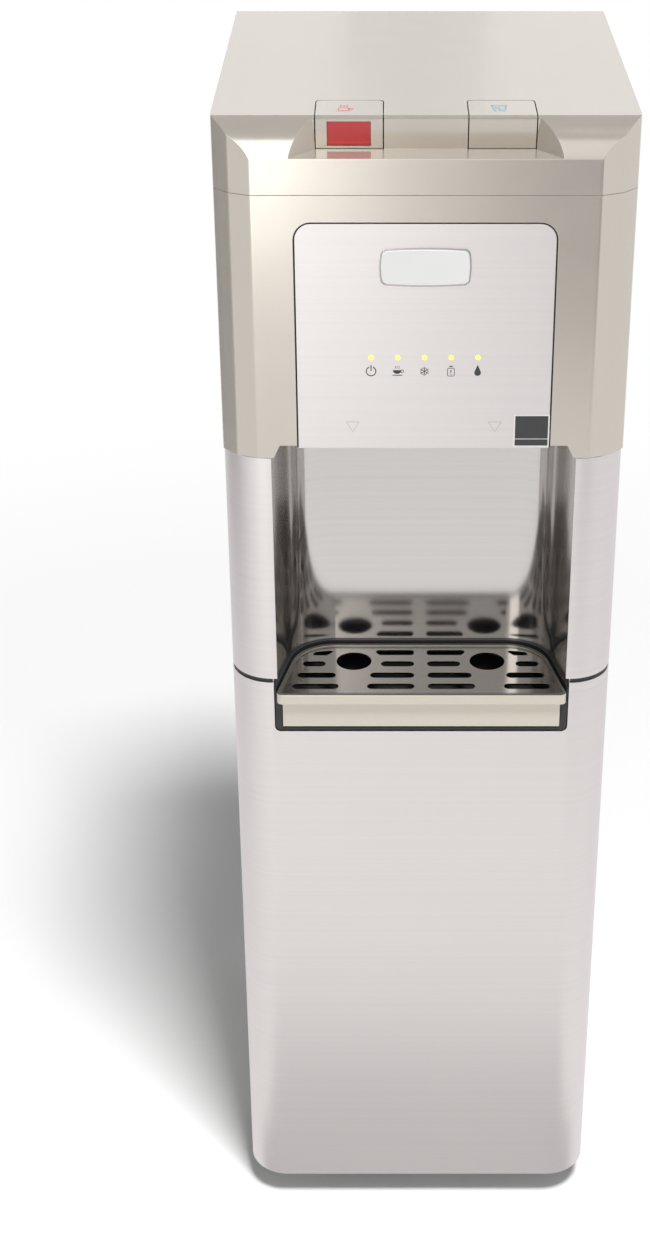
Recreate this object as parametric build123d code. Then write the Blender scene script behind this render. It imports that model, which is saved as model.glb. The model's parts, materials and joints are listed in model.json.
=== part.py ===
"""Bottom load water cooler: a slim cabinet with a lit control panel, a dispensing alcove with a
drip tray, two push buttons on the top edge, and a door that hides the bottle.

All sizes are in millimetres. X runs to the viewer's right, Z runs up, and the front faces -Y.
A "depth" is measured backward from the flat of the front face."""

from build123d import *
import os

# ---- overall -------------------------------------------------------------------------------
WIDTH = 310.0
HEIGHT = 1020.0
CABINET_DEPTH = 337.0
TRAY_PROUD = 6.0
COIL_STANDOFF = 17.0
TOTAL_DEPTH = TRAY_PROUD + CABINET_DEPTH + COIL_STANDOFF
FRONT = TRAY_PROUD - TOTAL_DEPTH / 2
HALF = WIDTH / 2

# ---- walls and clearances ------------------------------------------------------------------
SHEET = 1.0
PAN_SHEET = 1.2
WALL = 2.5
SEAT = 0.3
RUN = 0.05
PIN_FIT = 0.02
BACK_FACE = CABINET_DEPTH - SHEET

# ---- bands of the cabinet, from the top down -------------------------------------------------
COVER_HIGH = 53.0
HOUSING_HIGH = 207.5
CEILING_RISE = 10.5
ALCOVE_HIGH = 196.5
FLANGE_LINE = 3.5
NOTCH_HIGH = 46.2
FOOT_HEIGHT = 12.0
DOOR_LIFT = 16.0
SHELF_DROP = 19.5
COMPRESSOR_BAY = 204.0
COVER_SEAM = HEIGHT - COVER_HIGH
HOUSING_BOTTOM = COVER_SEAM - HOUSING_HIGH
CEILING = HOUSING_BOTTOM + CEILING_RISE
PILLAR_BOTTOM = HOUSING_BOTTOM - ALCOVE_HIGH
DOOR_TOP = PILLAR_BOTTOM - FLANGE_LINE
NOTCH_BOTTOM = DOOR_TOP - NOTCH_HIGH
DOOR_BOTTOM = FOOT_HEIGHT + DOOR_LIFT
SHELF_TOP = HOUSING_BOTTOM - SHELF_DROP
DECK_TOP = SHELF_TOP - COMPRESSOR_BAY
PAN_FLOOR = FOOT_HEIGHT + PAN_SHEET

# ---- cabinet front -------------------------------------------------------------------------
CORNER_R = 35.0
FRONT_DEPTH = 44.0
FACET_START = 28.0
FACETS = ((11.5, 7.0), (4.0, 15.0))
FACET_END = 20.0
FACET_BLEND = 6.0
JAMB = 16.0
REAR_LIP = 12.0

# ---- top cover -----------------------------------------------------------------------------
NOSE_START = HEIGHT - 30.0
NOSE_MID = (5.1, HEIGHT - 13.0)
NOSE_END = 19.5
NOSE_LEAD = 0.3
RECESS_HALF_FRONT = 99.0
RECESS_HALF_REAR = 80.0
RECESS_REAR = 19.0
RECESS_FLOOR = HEIGHT - 26.5
RECESS_FLOOR_REAR = HEIGHT - 25.0
FACE_TOP = (17.0, HEIGHT - 2.0)
FACE_FOOT = 21.0
BEVEL_EDGE = 15.2

# ---- buttons -------------------------------------------------------------------------------
BUTTON_INNER = 31.0
BUTTON_OUTER = 79.5
BUTTON_REAR = 58.0
BUTTON_GAP = 0.8
BUTTON_REAR_GAP = 1.2
BUTTON_CORNER = 4.0
BUTTON_WALL = 2.0
SKIRT_FOOT = HEIGHT - 32.0
BUTTON_SIDE_FOOT = HEIGHT - 15.0
PIN_R = 1.5
PIN_DEPTH = 53.0
PIN_HEIGHT = HEIGHT - 9.0
BOSS = 4.0
LOCK_INNER = 40.0
LOCK_OUTER = 71.0
LOCK_LOW = HEIGHT - 22.5
LOCK_HIGH = HEIGHT - 4.5
CARRIER_TOP = HEIGHT - 39.0
CARRIER_THICK = 2.5
SPRING_HIGH = 17.0
POST_DEPTH = 34.0
SWITCH_POST_X = BUTTON_OUTER - 9.0
SWITCH_POST_DEPTH = 37.0
SWITCH_POST_FOOT = CARRIER_TOP + 14.7

# ---- control panel -------------------------------------------------------------------------
PANEL_MARGIN = 59.5
PANEL_HALF = HALF - PANEL_MARGIN
PANEL_LOW = HOUSING_BOTTOM + 8.5
PANEL_HIGH = COVER_SEAM - 21.5
PANEL_CORNER = 12.0
PANEL_THICK = 3.0
PANEL_SET_BACK = 0.3
PANEL_GAP = 1.2
PANEL_SEAT = PANEL_SET_BACK + PANEL_THICK + SEAT
BADGE_HALF = 31.5
BADGE_HIGH = PANEL_HIGH - 20.2
BADGE_LOW = BADGE_HIGH - 25.0
BADGE_BULGE = 1.2
BADGE_CORNER = 4.5
BADGE_THICK = 1.4
LAMP_PITCH = 20.0
LAMP_HEIGHT = PANEL_LOW + 74.0
LAMP_R = 1.9
LAMP_COUNT = 5
BOARD_BOSS = 4.0

# ---- alcove and tray -----------------------------------------------------------------------
ALCOVE_HALF = HALF - 34.5
ALCOVE_TAPER = 0.21
ALCOVE_REAR = 82.0
ALCOVE_R = 39.0
PILLAR_EDGE = ALCOVE_HALF - 3.5
PILLAR_SHEET = 1.6
NOTCH_HALF = ALCOVE_HALF - 0.5
NOTCH_R = 5.0
LINER_SHEET = 0.8
LEDGE = DOOR_TOP - 5.2
TRAY_REVEAL = 2.7
TRAY_TOP = DOOR_TOP - 7.5
RIM_FOOT = TRAY_TOP - 9.5
TRAY_BOTTOM = TRAY_TOP - 33.0
TRAY_STEP = 4.6
TRAY_WALL = 2.0
TRAY_CORNER = 5.0
GRILLE_REVEAL = 3.0
GRILLE_DROP = 1.7
GRILLE_THICK = 1.6
WELL_GAP = 0.8
WELL_WALL = 3.0
WELL_FACE = 1.0
SPOUT_X = ALCOVE_HALF - 65.0
SPOUT_DEPTH = 51.3
SPOUT_TIP = CEILING - 19.0
SPOUT_NECK = 8.0
DRAIN_R = 14.6
SLOT = 8.6
SPINE = 5.4

# ---- door ----------------------------------------------------------------------------------
DOOR_DEPTH = 40.0
DOOR_SKIN = 1.2
SKIN_RETURN = 36.0
CORE_GAP = 0.1
EAR_SEAM = 0.2
EAR_INSET = 1.5
EAR_REACH = 12.0
PIVOT_X = HALF - 14.0
PIVOT_DEPTH = 20.0
HINGE_PIN_R = 3.0
HINGE_PIN_LONG = 9.0
HINGE_PLATE = 3.0
BUSH_R = 6.5
BUSH_LONG = 13.5
CATCH_Z = DOOR_BOTTOM + 272.0

# ---- bottle bay ------------------------------------------------------------------------------
PLATFORM_TOP = PAN_FLOOR + 14.8
BOTTLE_R = 137.0
BOTTLE_DEPTH = FRONT_DEPTH + BOTTLE_R + 9.0
PROBE_X = 30.0 - HALF
PROBE_DEPTH = BACK_FACE - 30.0
PROBE_R = 5.0
PROBE_BORE = 3.0
PROBE_TIP = PLATFORM_TOP + 12.0
COLLAR_R = 23.0
COLLAR_HIGH = 25.0
SPIGOT = 8.0
HANGER_TOP = DECK_TOP - 96.0
HOSE_R = 4.5

# ---- tanks, pump and compressor --------------------------------------------------------------
TANK_WALL = 1.0
COLD_X = 62.0
COLD_DEPTH = BACK_FACE - 121.0
COLD_TANK_R = 56.0
COLD_TANK_HIGH = 150.0
FOAM = 16.0
HOT_X = -78.0
HOT_DEPTH = BACK_FACE - 101.0
HOT_TANK_R = 40.0
HOT_TANK_HIGH = 140.0
HOT_LIFT = 12.0
OUTLET_LONG = 14.0
FELT = 8.0
PUMP_X = 70.0
PUMP_DEPTH = BACK_FACE - 131.0
PUMP_HEIGHT = DECK_TOP + 32.0
PORT_R = HOSE_R - 1.0
RISER_X = -20.0
RISER_DEPTH = PUMP_DEPTH + 14.0
POT_X = -68.0
POT_DEPTH = BACK_FACE - 114.0
POT_R = 58.0
POT_HIGH = 135.0
POT_LIFT = 15.0
EAR_X = 58.0
EAR_DEPTH = 44.0
DRAIN_Z = SHELF_TOP + 29.0

# ---- back ----------------------------------------------------------------------------------
TUBE_R = 2.5
WIRE = 1.5
WIRE_COUNT = 30
COIL_HALF = HALF - 37.0
COIL_LOW = 130.0
COIL_PITCH = 54.0
COIL_ROOM = SHELF_TOP - 70.0 - COIL_LOW
COIL_RUNS = 2 * int(COIL_ROOM / (2 * COIL_PITCH)) + 1
COIL_TOP = COIL_LOW + COIL_PITCH * (COIL_RUNS - 1)
COIL_DEPTH = CABINET_DEPTH + COIL_STANDOFF - WIRE - TUBE_R
COIL_ENTRY = -COIL_HALF - 10.0
BRACKET_X = 62.0
BRACKET_SHEET = 1.2
PASS_X = HALF - 15.0
DRIER_R = 8.0
DRIER_DEPTH = CABINET_DEPTH + DRIER_R + 0.6
DRIER_LONG = 60.0
DRIER_LOW = COIL_TOP - 110.0
CAPILLARY_R = 1.5
CAPILLARY_Z = COIL_TOP - 20.0
GLAND_X = HALF - 45.0
GLAND_Z = 75.0
GLAND_BORE = 3.8
GLAND_NECK = 8.0
SWITCH_X = (HALF - 95.0, HALF - 65.0)
SWITCH_Z = COVER_SEAM - 82.0
ROCKER_TIP = 7.0
ROCKER_PIN_R = 1.2
LOUVRE_X = HALF - 110.0
LOUVRE_LOW = SHELF_TOP + 60.0
LOUVRE_PITCH = 9.0
LOUVRE_COUNT = 6


def at(depth):
    """The Y of a depth behind the front face."""
    return FRONT + depth


def block(x0, x1, d0, d1, z0, z1):
    """A block between two X values, two depths and two heights."""
    centre = Pos((x0 + x1) / 2, at((d0 + d1) / 2), (z0 + z1) / 2)
    return centre * Box(abs(x1 - x0), d1 - d0, z1 - z0)


def slab(plan, z0, z1):
    """A plan outline raised from z0 to z1."""
    return Pos(0, 0, z0) * extrude(plan, amount=z1 - z0, dir=(0, 0, 1))


def side_slab(points, x0, x1):
    """An outline of (depth, height) points, drawn from the side, swept from x0 to x1."""
    face = Plane.YZ * make_face(Polyline(*[(at(d), z) for d, z in points], close=True))
    return Pos(min(x0, x1), 0, 0) * extrude(face, amount=abs(x1 - x0), dir=(1, 0, 0))


def front_slab(face, d0, d1):
    """A face drawn in (X, Z), carried from depth d0 back to d1."""
    standing = Plane.XZ.offset(-at(d0)) * face
    return extrude(standing, amount=d1 - d0, dir=(0, 1, 0))


def upright(x, depth, z0, z1, radius):
    """A vertical cylinder."""
    return Pos(x, at(depth), (z0 + z1) / 2) * Cylinder(radius, z1 - z0)


def bar_x(x0, x1, depth, z, radius):
    """A cylinder along X."""
    middle = Pos((x0 + x1) / 2, at(depth), z)
    return middle * Rot(0, 90, 0) * Cylinder(radius, abs(x1 - x0))


def bar_y(x, d0, d1, z, radius):
    """A cylinder along Y, from depth d0 to d1."""
    return Pos(x, at((d0 + d1) / 2), z) * Rot(90, 0, 0) * Cylinder(radius, d1 - d0)


def both(make):
    """A piece made for the left (-1) and the right (+1), joined."""
    return make(-1) + make(1)


# ---- outlines in plan ----------------------------------------------------------------------
def rounded_plan(inset, rear):
    """The cabinet's rounded front, set in by inset, back to the depth rear."""
    half = HALF - inset
    sheet = Pos(0, (at(inset) + at(rear)) / 2) * Rectangle(2 * half, rear - inset)
    return fillet(sheet.vertices().group_by(Axis.Y)[0], CORNER_R - inset)


def faceted_plan(rear):
    """The faceted front of the housing and the top cover, back to the depth rear."""
    steps = [(HALF - inset, depth) for inset, depth in FACETS]
    right = [(HALF - FACET_START, 0.0), *steps, (HALF, FACET_END), (HALF, rear)]
    left = [(-x, d) for x, d in reversed(right)]
    outline = make_face(Polyline(*[(x, at(d)) for x, d in right + left], close=True))
    soft = [v for v in outline.vertices() if v.Y < at(FACET_END + 1)]
    return fillet(soft, FACET_BLEND)


def alcove_plan(grow):
    """The tapered, round-cornered plan of the alcove, open well past the front, grown all round."""
    ahead = 40.0
    rear_half = ALCOVE_HALF - ALCOVE_TAPER * ALCOVE_REAR
    front_half = ALCOVE_HALF + ALCOVE_TAPER * ahead
    points = [
        (-front_half, at(-ahead)),
        (front_half, at(-ahead)),
        (rear_half, at(ALCOVE_REAR)),
        (-rear_half, at(ALCOVE_REAR)),
    ]
    outline = make_face(Polyline(*points, close=True))
    outline = fillet(outline.vertices().group_by(Axis.Y)[-1], ALCOVE_R)
    return outline if grow == 0 else offset(outline, amount=grow, kind=Kind.INTERSECTION)


def behind(shape, depth):
    """What of a shape lies behind a depth."""
    return shape & block(-HALF, HALF, depth, CABINET_DEPTH, 0, HEIGHT + 50)


def notch_face(grow):
    """The cut-out in the door's top edge round the drip tray, drawn from the front."""
    half = NOTCH_HALF + grow
    low = NOTCH_BOTTOM - grow
    face = Pos(0, (low + HEIGHT) / 2) * Rectangle(2 * half, HEIGHT - low)
    return fillet(face.vertices().group_by(Axis.Y)[0], NOTCH_R + grow)


# ---- top cover and buttons -----------------------------------------------------------------
def nose_cut():
    """The space ahead of the cover's rounded nose, whose arc starts a lead ahead of the front plane."""
    clear = 5.0
    over = HEIGHT + clear
    foot = (at(-NOSE_LEAD), NOSE_START)
    lines = [
        ThreePointArc(foot, (at(NOSE_MID[0]), NOSE_MID[1]), (at(NOSE_END), HEIGHT)),
        Line((at(NOSE_END), HEIGHT), (at(NOSE_END), over)),
        Line((at(NOSE_END), over), (at(-clear), over)),
        Line((at(-clear), over), (at(-clear), NOSE_START)),
        Line((at(-clear), NOSE_START), foot),
    ]
    side = Plane.YZ * make_face(lines)
    return Pos(-HALF - clear, 0, 0) * extrude(side, amount=WIDTH + 2 * clear, dir=(1, 0, 0))


def cover_hollow():
    """The inside of the cover: the nose moved back and down by a wall, in a plan set in by a wall."""
    plan = offset(faceted_plan(CABINET_DEPTH), amount=-WALL, kind=Kind.INTERSECTION)
    return slab(plan, COVER_SEAM - 5, HEIGHT - WALL) - (Pos(0, 0.8 * WALL, -WALL) * nose_cut())


def recess(grow):
    """The finger recess in front of the buttons, grown by a wall all round."""
    side = side_slab(
        [
            (-5.0, RECESS_FLOOR - grow),
            (FACE_FOOT + grow, RECESS_FLOOR_REAR - grow),
            (FACE_TOP[0] + grow, FACE_TOP[1]),
            (BEVEL_EDGE + grow, HEIGHT + 1),
            (-5.0, HEIGHT + 1),
        ],
        -HALF,
        HALF,
    )
    flare = (RECESS_HALF_FRONT - RECESS_HALF_REAR) / RECESS_REAR
    rear_half = RECESS_HALF_REAR + grow
    front_half = rear_half + flare * (RECESS_REAR + 5.0)
    points = [
        (-front_half, at(-5)),
        (front_half, at(-5)),
        (rear_half, at(RECESS_REAR)),
        (rear_half, at(FACE_FOOT + grow + 1)),
        (-rear_half, at(FACE_FOOT + grow + 1)),
        (-rear_half, at(RECESS_REAR)),
    ]
    plan = make_face(Polyline(*points, close=True))
    return side & slab(plan, RECESS_FLOOR - grow - 5, HEIGHT + 1)


def button_plan(side, grow, rear_grow):
    """A button's outline in plan, with its rounded rear corners."""
    inner = BUTTON_INNER - grow
    outer = BUTTON_OUTER + grow
    rear = BUTTON_REAR + rear_grow
    centre = Pos(side * (inner + outer) / 2, at((10 + rear) / 2))
    face = centre * Rectangle(outer - inner, rear - 10)
    return fillet(face.vertices().group_by(Axis.Y)[-1], BUTTON_CORNER)


def button_opening(side):
    """The way that a button has through the cover, from just ahead of its skirt."""
    foot = FACE_FOOT - BUTTON_GAP
    way = side_slab(
        [
            (foot, COVER_SEAM + 2),
            (foot, RECESS_FLOOR_REAR + 0.2),
            (BEVEL_EDGE - 1.0, HEIGHT + 1),
            (BUTTON_REAR + BUTTON_REAR_GAP, HEIGHT + 1),
            (BUTTON_REAR + BUTTON_REAR_GAP, COVER_SEAM + 2),
        ],
        side * (BUTTON_INNER - BUTTON_GAP),
        side * (BUTTON_OUTER + BUTTON_GAP),
    )
    return way & slab(button_plan(side, BUTTON_GAP, BUTTON_REAR_GAP), COVER_SEAM, HEIGHT + 2)


def pin_boss(x_near, x_far):
    """A lug under the cover that carries one end of a button's pin."""
    return side_slab(
        [
            (PIN_DEPTH - 5, HEIGHT - WALL + 0.5),
            (PIN_DEPTH - 4, PIN_HEIGHT - 4),
            (PIN_DEPTH + 4, PIN_HEIGHT - 4),
            (PIN_DEPTH + 5, HEIGHT - WALL + 0.5),
        ],
        x_near,
        x_far,
    )


def carrier_posts(side):
    """The two screw posts that hold the switch carrier under the cover."""
    x = side * (BUTTON_OUTER + BUTTON_GAP + BOSS + 4)
    front = upright(x, POST_DEPTH, CARRIER_TOP, HEIGHT - WALL + 0.5, 3.5)
    rear = upright(x, BUTTON_REAR + 6, CARRIER_TOP, HEIGHT - WALL + 0.5, 3.5)
    return front + rear


def top_cover():
    """The moulded cap: rounded nose, finger recess, fixed centre filler and button openings."""
    outer = slab(faceted_plan(CABINET_DEPTH), COVER_SEAM, HEIGHT) - nose_cut()
    cover = outer - (cover_hollow() - recess(WALL)) - recess(0)
    for side in (-1, 1):
        outer = side * (BUTTON_OUTER + BUTTON_GAP)
        inner = side * (BUTTON_INNER - BUTTON_GAP)
        cover = cover - button_opening(side)
        cover = cover + pin_boss(outer, outer + side * BOSS) + pin_boss(inner, inner - side * BOSS)
        cover = cover + carrier_posts(side)
        cover = cover - bar_x(
            inner - side * (BOSS - 1), outer + side * (BOSS - 1), PIN_DEPTH, PIN_HEIGHT, PIN_R + PIN_FIT
        )
    return cover


def button_block(side, inset):
    """A button's outer form, set in by inset and open below where inset is a wall."""
    drop = 12.0 if inset else 0.0
    form = side_slab(
        [
            (FACE_FOOT + 1.0 + inset, SKIRT_FOOT - drop),
            (FACE_FOOT + inset, RECESS_FLOOR_REAR),
            (FACE_TOP[0] + inset, FACE_TOP[1] - inset / 2),
            (BEVEL_EDGE + 1.6 * inset, HEIGHT - inset),
            (BUTTON_REAR - inset, HEIGHT - inset),
            (BUTTON_REAR - inset, BUTTON_SIDE_FOOT - drop),
            (BUTTON_REAR - 20, BUTTON_SIDE_FOOT - drop),
            (FACE_FOOT + 10, SKIRT_FOOT - drop),
        ],
        side * (BUTTON_INNER + inset),
        side * (BUTTON_OUTER - inset),
    )
    if inset:
        return form
    return (form & slab(button_plan(side, 0, 0), COVER_SEAM, HEIGHT + 2)) - nose_cut()


def button(side):
    """A push button: a hollow cap on a cross pin, with a post that bears on its return spring."""
    cap = button_block(side, 0) - button_block(side, BUTTON_WALL)
    middle = side * (BUTTON_INNER + BUTTON_OUTER) / 2
    cap = cap + upright(middle, POST_DEPTH, CARRIER_TOP + SPRING_HIGH, HEIGHT - BUTTON_WALL + 0.5, 3.0)
    under = HEIGHT - BUTTON_WALL + 0.5
    cap = cap + upright(side * SWITCH_POST_X, SWITCH_POST_DEPTH, SWITCH_POST_FOOT, under, 2.0)
    ends = (side * (BUTTON_INNER - 3), side * (BUTTON_OUTER + 3))
    return cap - bar_x(*ends, PIN_DEPTH, PIN_HEIGHT, PIN_R + RUN)


def lock_block(grow, back):
    """The hot lock's slab behind the button's sloping face."""
    slope = (FACE_FOOT - FACE_TOP[0]) / (FACE_TOP[1] - RECESS_FLOOR_REAR)
    low = FACE_TOP[0] + slope * (FACE_TOP[1] - LOCK_LOW + grow)
    high = FACE_TOP[0] + slope * (FACE_TOP[1] - LOCK_HIGH - grow)
    return side_slab(
        [
            (low, LOCK_LOW - grow),
            (high, LOCK_HIGH + grow),
            (high + back, LOCK_HIGH + grow),
            (low + back, LOCK_LOW - grow),
        ],
        -LOCK_OUTER - grow,
        -LOCK_INNER + grow,
    )


def lock_slider():
    """The red child lock: a pad flush in the hot button's face, with a wider plate behind it."""
    pad = lock_block(0, 4.2)
    plate = Pos(0, BUTTON_WALL + SEAT, 0) * lock_block(1.6, 1.9)
    lip = side_slab(
        [
            (FACE_FOOT - 0.9, LOCK_LOW + 0.6),
            (FACE_FOOT - 1.3, LOCK_LOW + 2.6),
            (FACE_FOOT + 1.0, LOCK_LOW + 3.4),
            (FACE_FOOT + 1.0, LOCK_LOW + 0.3),
        ],
        -LOCK_OUTER,
        -LOCK_INNER,
    )
    return pad + plate + lip


def hot_button():
    """The hot button, with the window that its child lock shows through."""
    return button(-1) - (Pos(0, -1, 0) * lock_block(SEAT, BUTTON_WALL + 2.2))


def button_pins():
    """The steel cross pins that the two buttons rock on."""
    inner = BUTTON_INNER - BUTTON_GAP - BOSS + 1.2
    outer = BUTTON_OUTER + BUTTON_GAP + BOSS - 1.2
    return both(lambda side: bar_x(side * inner, side * outer, PIN_DEPTH, PIN_HEIGHT, PIN_R))


def switch_carrier():
    """The moulded plate under the buttons, screwed to the cover's posts."""
    x = BUTTON_OUTER + BUTTON_GAP + BOSS + 9
    low = CARRIER_TOP - CARRIER_THICK
    plan = Pos(0, at(49)) * RectangleRounded(2 * x, 44, 5)
    plate = slab(plan, low, CARRIER_TOP)
    ribs = block(-x + 6, x - 6, 46, 48, low - 5, low + 0.1) + block(-2, 2, 30, 66, low - 5, low + 0.1)
    return plate + ribs


def return_spring(side):
    """A bent leaf spring from the carrier up to the button's post."""
    x = side * (BUTTON_INNER + BUTTON_OUTER) / 2
    base = CARRIER_TOP
    tip = CARRIER_TOP + SPRING_HIGH
    strip = [
        (POST_DEPTH - 3.0, base),
        (POST_DEPTH + 14.0, base),
        (POST_DEPTH + 15.6, base + 1.4),
        (POST_DEPTH + 14.0, base + 3.0),
        (POST_DEPTH + 3.0, tip - 1.2),
        (POST_DEPTH - 3.0, tip),
        (POST_DEPTH - 3.0, tip - 0.5),
        (POST_DEPTH + 2.8, tip - 1.7),
        (POST_DEPTH + 13.8, base + 2.4),
        (POST_DEPTH + 15.0, base + 1.4),
        (POST_DEPTH + 13.8, base + 0.5),
        (POST_DEPTH - 3.0, base + 0.5),
    ]
    return side_slab(strip, x - 3, x + 3)


def microswitches():
    """The two small switches on the carrier, each with its plunger under a button."""
    def one(side):
        x = side * SWITCH_POST_X
        body = block(x - 3, x + 3, 30, 50, CARRIER_TOP, CARRIER_TOP + 10)
        plunger = upright(x, SWITCH_POST_DEPTH, CARRIER_TOP + 9, CARRIER_TOP + 13, 1.2)
        return fillet(body.edges().filter_by(Axis.X), 1) + plunger
    return both(one)


# ---- front housing and control panel -------------------------------------------------------
def panel_face(grow):
    """The control panel's outline from the front, grown all round."""
    half = PANEL_HALF + grow
    low = PANEL_LOW - grow
    high = PANEL_HIGH + grow
    face = Pos(0, (low + high) / 2) * Rectangle(2 * half, high - low)
    return fillet(face.vertices().group_by(Axis.Y)[-1], PANEL_CORNER + grow)


def housing_foot():
    """What is cut from the housing's lower edge: the raised centre with its slanted steps."""
    foot = ALCOVE_HALF - 5.5
    points = [(-foot, HOUSING_BOTTOM - 5), (-foot, HOUSING_BOTTOM), (5.0 - foot, CEILING)]
    points = points + [(-x, z) for x, z in reversed(points)]
    return front_slab(make_face(Polyline(*points, close=True)), -2, FRONT_DEPTH + 2)


def front_housing():
    """The faceted moulding round the control panel, with a tray that the panel lies in."""
    outer = slab(faceted_plan(FRONT_DEPTH), HOUSING_BOTTOM, COVER_SEAM - SEAT)
    inner_plan = offset(faceted_plan(FRONT_DEPTH + 20), amount=-WALL, kind=Kind.INTERSECTION)
    inner = slab(inner_plan, HOUSING_BOTTOM - 5, HEIGHT)
    pocket = front_slab(panel_face(PANEL_GAP), -2, PANEL_SEAT)
    floor = PANEL_SEAT + WALL
    tray = front_slab(panel_face(PANEL_GAP + WALL), 0, floor)
    shell = (outer - inner) + (tray & outer)
    shell = shell - pocket - housing_foot()
    lamps = LAMP_PITCH * (LAMP_COUNT - 1) / 2 + 8
    shell = shell - block(-lamps, lamps, 0, 12, LAMP_HEIGHT - 7, LAMP_HEIGHT + 7)
    for x in (-60.0, 60.0):
        shell = shell + bar_y(x, floor - 0.5, floor + BOARD_BOSS, LAMP_HEIGHT, 3.5)
    return shell


def lamp_places():
    """The X of each indicator lamp."""
    return [LAMP_PITCH * (i - (LAMP_COUNT - 1) / 2) for i in range(LAMP_COUNT)]


def control_panel():
    """The brushed plate with its row of lamp holes."""
    plate = front_slab(panel_face(0), PANEL_SET_BACK, PANEL_SET_BACK + PANEL_THICK)
    for x in lamp_places():
        plate = plate - bar_y(x, -1, 8, LAMP_HEIGHT, LAMP_R + PIN_FIT)
    return plate


def indicator_lenses():
    """The light pipes, one to each lamp hole, from the board to the panel's face."""
    rear = PANEL_SEAT + WALL + BOARD_BOSS
    lenses = [bar_y(x, 0, rear, LAMP_HEIGHT, LAMP_R) for x in lamp_places()]
    return Compound(children=[lens.solid() for lens in lenses])


def control_board():
    """The printed board on the housing's bosses, with a relay and two connectors."""
    face = PANEL_SEAT + WALL + BOARD_BOSS
    board = block(-70, 70, face, face + 1.6, LAMP_HEIGHT - 30, LAMP_HEIGHT + 30)
    relay = block(-50, -30, face + 1.5, face + 16, LAMP_HEIGHT - 22, LAMP_HEIGHT - 6)
    plugs = block(10, 30, face + 1.5, face + 9, LAMP_HEIGHT + 12, LAMP_HEIGHT + 20)
    plugs = plugs + block(36, 56, face + 1.5, face + 9, LAMP_HEIGHT + 12, LAMP_HEIGHT + 20)
    return board + relay + plugs


def badge_plate():
    """The blank badge: a slightly bowed, round-cornered plate with an eased front edge."""
    mid = (BADGE_LOW + BADGE_HIGH) / 2
    bow = BADGE_BULGE
    edges = [
        ThreePointArc((-BADGE_HALF, BADGE_LOW), (0, BADGE_LOW - bow), (BADGE_HALF, BADGE_LOW)),
        ThreePointArc((BADGE_HALF, BADGE_LOW), (BADGE_HALF + bow, mid), (BADGE_HALF, BADGE_HIGH)),
        ThreePointArc((BADGE_HALF, BADGE_HIGH), (0, BADGE_HIGH + bow), (-BADGE_HALF, BADGE_HIGH)),
        ThreePointArc((-BADGE_HALF, BADGE_HIGH), (-BADGE_HALF - bow, mid), (-BADGE_HALF, BADGE_LOW)),
    ]
    face = make_face(edges)
    face = fillet(face.vertices(), BADGE_CORNER)
    plate = front_slab(face, PANEL_SET_BACK - BADGE_THICK, PANEL_SET_BACK)
    return fillet(plate.edges().group_by(Axis.Y)[0], 0.6)


# ---- alcove, well and tray -----------------------------------------------------------------
def pillar(side):
    """A stainless pillar: the rounded cabinet corner from the alcove's edge back to the side."""
    outer = slab(rounded_plan(0, FRONT_DEPTH - SEAT), PILLAR_BOTTOM + SEAT, HOUSING_BOTTOM - SEAT)
    inner = slab(rounded_plan(PILLAR_SHEET, FRONT_DEPTH + 20), PILLAR_BOTTOM - 5, HOUSING_BOTTOM + 5)
    keep = block(side * PILLAR_EDGE, side * HALF, -1, FRONT_DEPTH, PILLAR_BOTTOM, HOUSING_BOTTOM)
    return (outer - inner) & keep


def alcove_liner():
    """The curved stainless sheet round the sides and the back of the alcove."""
    sheet = slab(alcove_plan(LINER_SHEET), LEDGE, CEILING - SEAT)
    sheet = sheet - slab(alcove_plan(0), LEDGE - 5, CEILING + 5)
    under_housing = block(-HALF, HALF, 0, PANEL_SEAT + WALL + SEAT, HOUSING_BOTTOM - SEAT, CEILING)
    return behind(sheet, 2.0) - under_housing


def alcove_ceiling():
    """The moulded plate over the alcove, with a hole for each spout."""
    plate = slab(alcove_plan(8.0), CEILING, CEILING + WALL)
    between = block(-HALF + 3, HALF - 3, 0, ALCOVE_REAR + 18, CEILING, CEILING + WALL)
    plate = behind(plate, PANEL_SEAT + WALL + SEAT) & between
    for side in (-1, 1):
        plate = plate - upright(side * SPOUT_X, SPOUT_DEPTH, CEILING - 5, CEILING + 10, SPOUT_NECK + PIN_FIT)
    return plate


def spout(side):
    """A tapered nozzle that hangs through the ceiling, with its bore and its collar."""
    x = side * SPOUT_X
    nozzle = Pos(x, at(SPOUT_DEPTH), SPOUT_TIP + 7) * Cone(5.5, SPOUT_NECK, 14)
    neck = upright(x, SPOUT_DEPTH, SPOUT_TIP + 14, CEILING + WALL, SPOUT_NECK)
    collar = upright(x, SPOUT_DEPTH, CEILING + WALL, CEILING + WALL + 3, SPOUT_NECK + 3)
    return nozzle + neck + collar - upright(x, SPOUT_DEPTH, SPOUT_TIP - 1, CEILING + 20, 3.5)


def dispense_valve(side):
    """A solenoid valve on top of a spout: body, coil and inlet."""
    x = side * SPOUT_X
    base = CEILING + WALL + 3
    body = upright(x, SPOUT_DEPTH, base, base + 14, 10.0)
    coil = block(x - 13, x + 13, SPOUT_DEPTH - 13, SPOUT_DEPTH + 13, base + 14, base + 38)
    inlet = bar_y(x, SPOUT_DEPTH + 5, SPOUT_DEPTH + 28, base + 7, 4.0)
    return body + fillet(coil.edges().filter_by(Axis.Z), 4) + inlet


def tray_plan(grow):
    """The drip tray's outline, ahead of the cabinet by TRAY_PROUD, grown all round."""
    plan = alcove_plan(-TRAY_REVEAL)
    ahead = Pos(0, at(-TRAY_PROUD - 50)) * Rectangle(2 * WIDTH, 100)
    plan = plan - ahead
    plan = fillet(plan.vertices().group_by(Axis.Y)[0], TRAY_CORNER)
    return offset(plan, amount=grow, kind=Kind.INTERSECTION) if grow else plan


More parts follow.
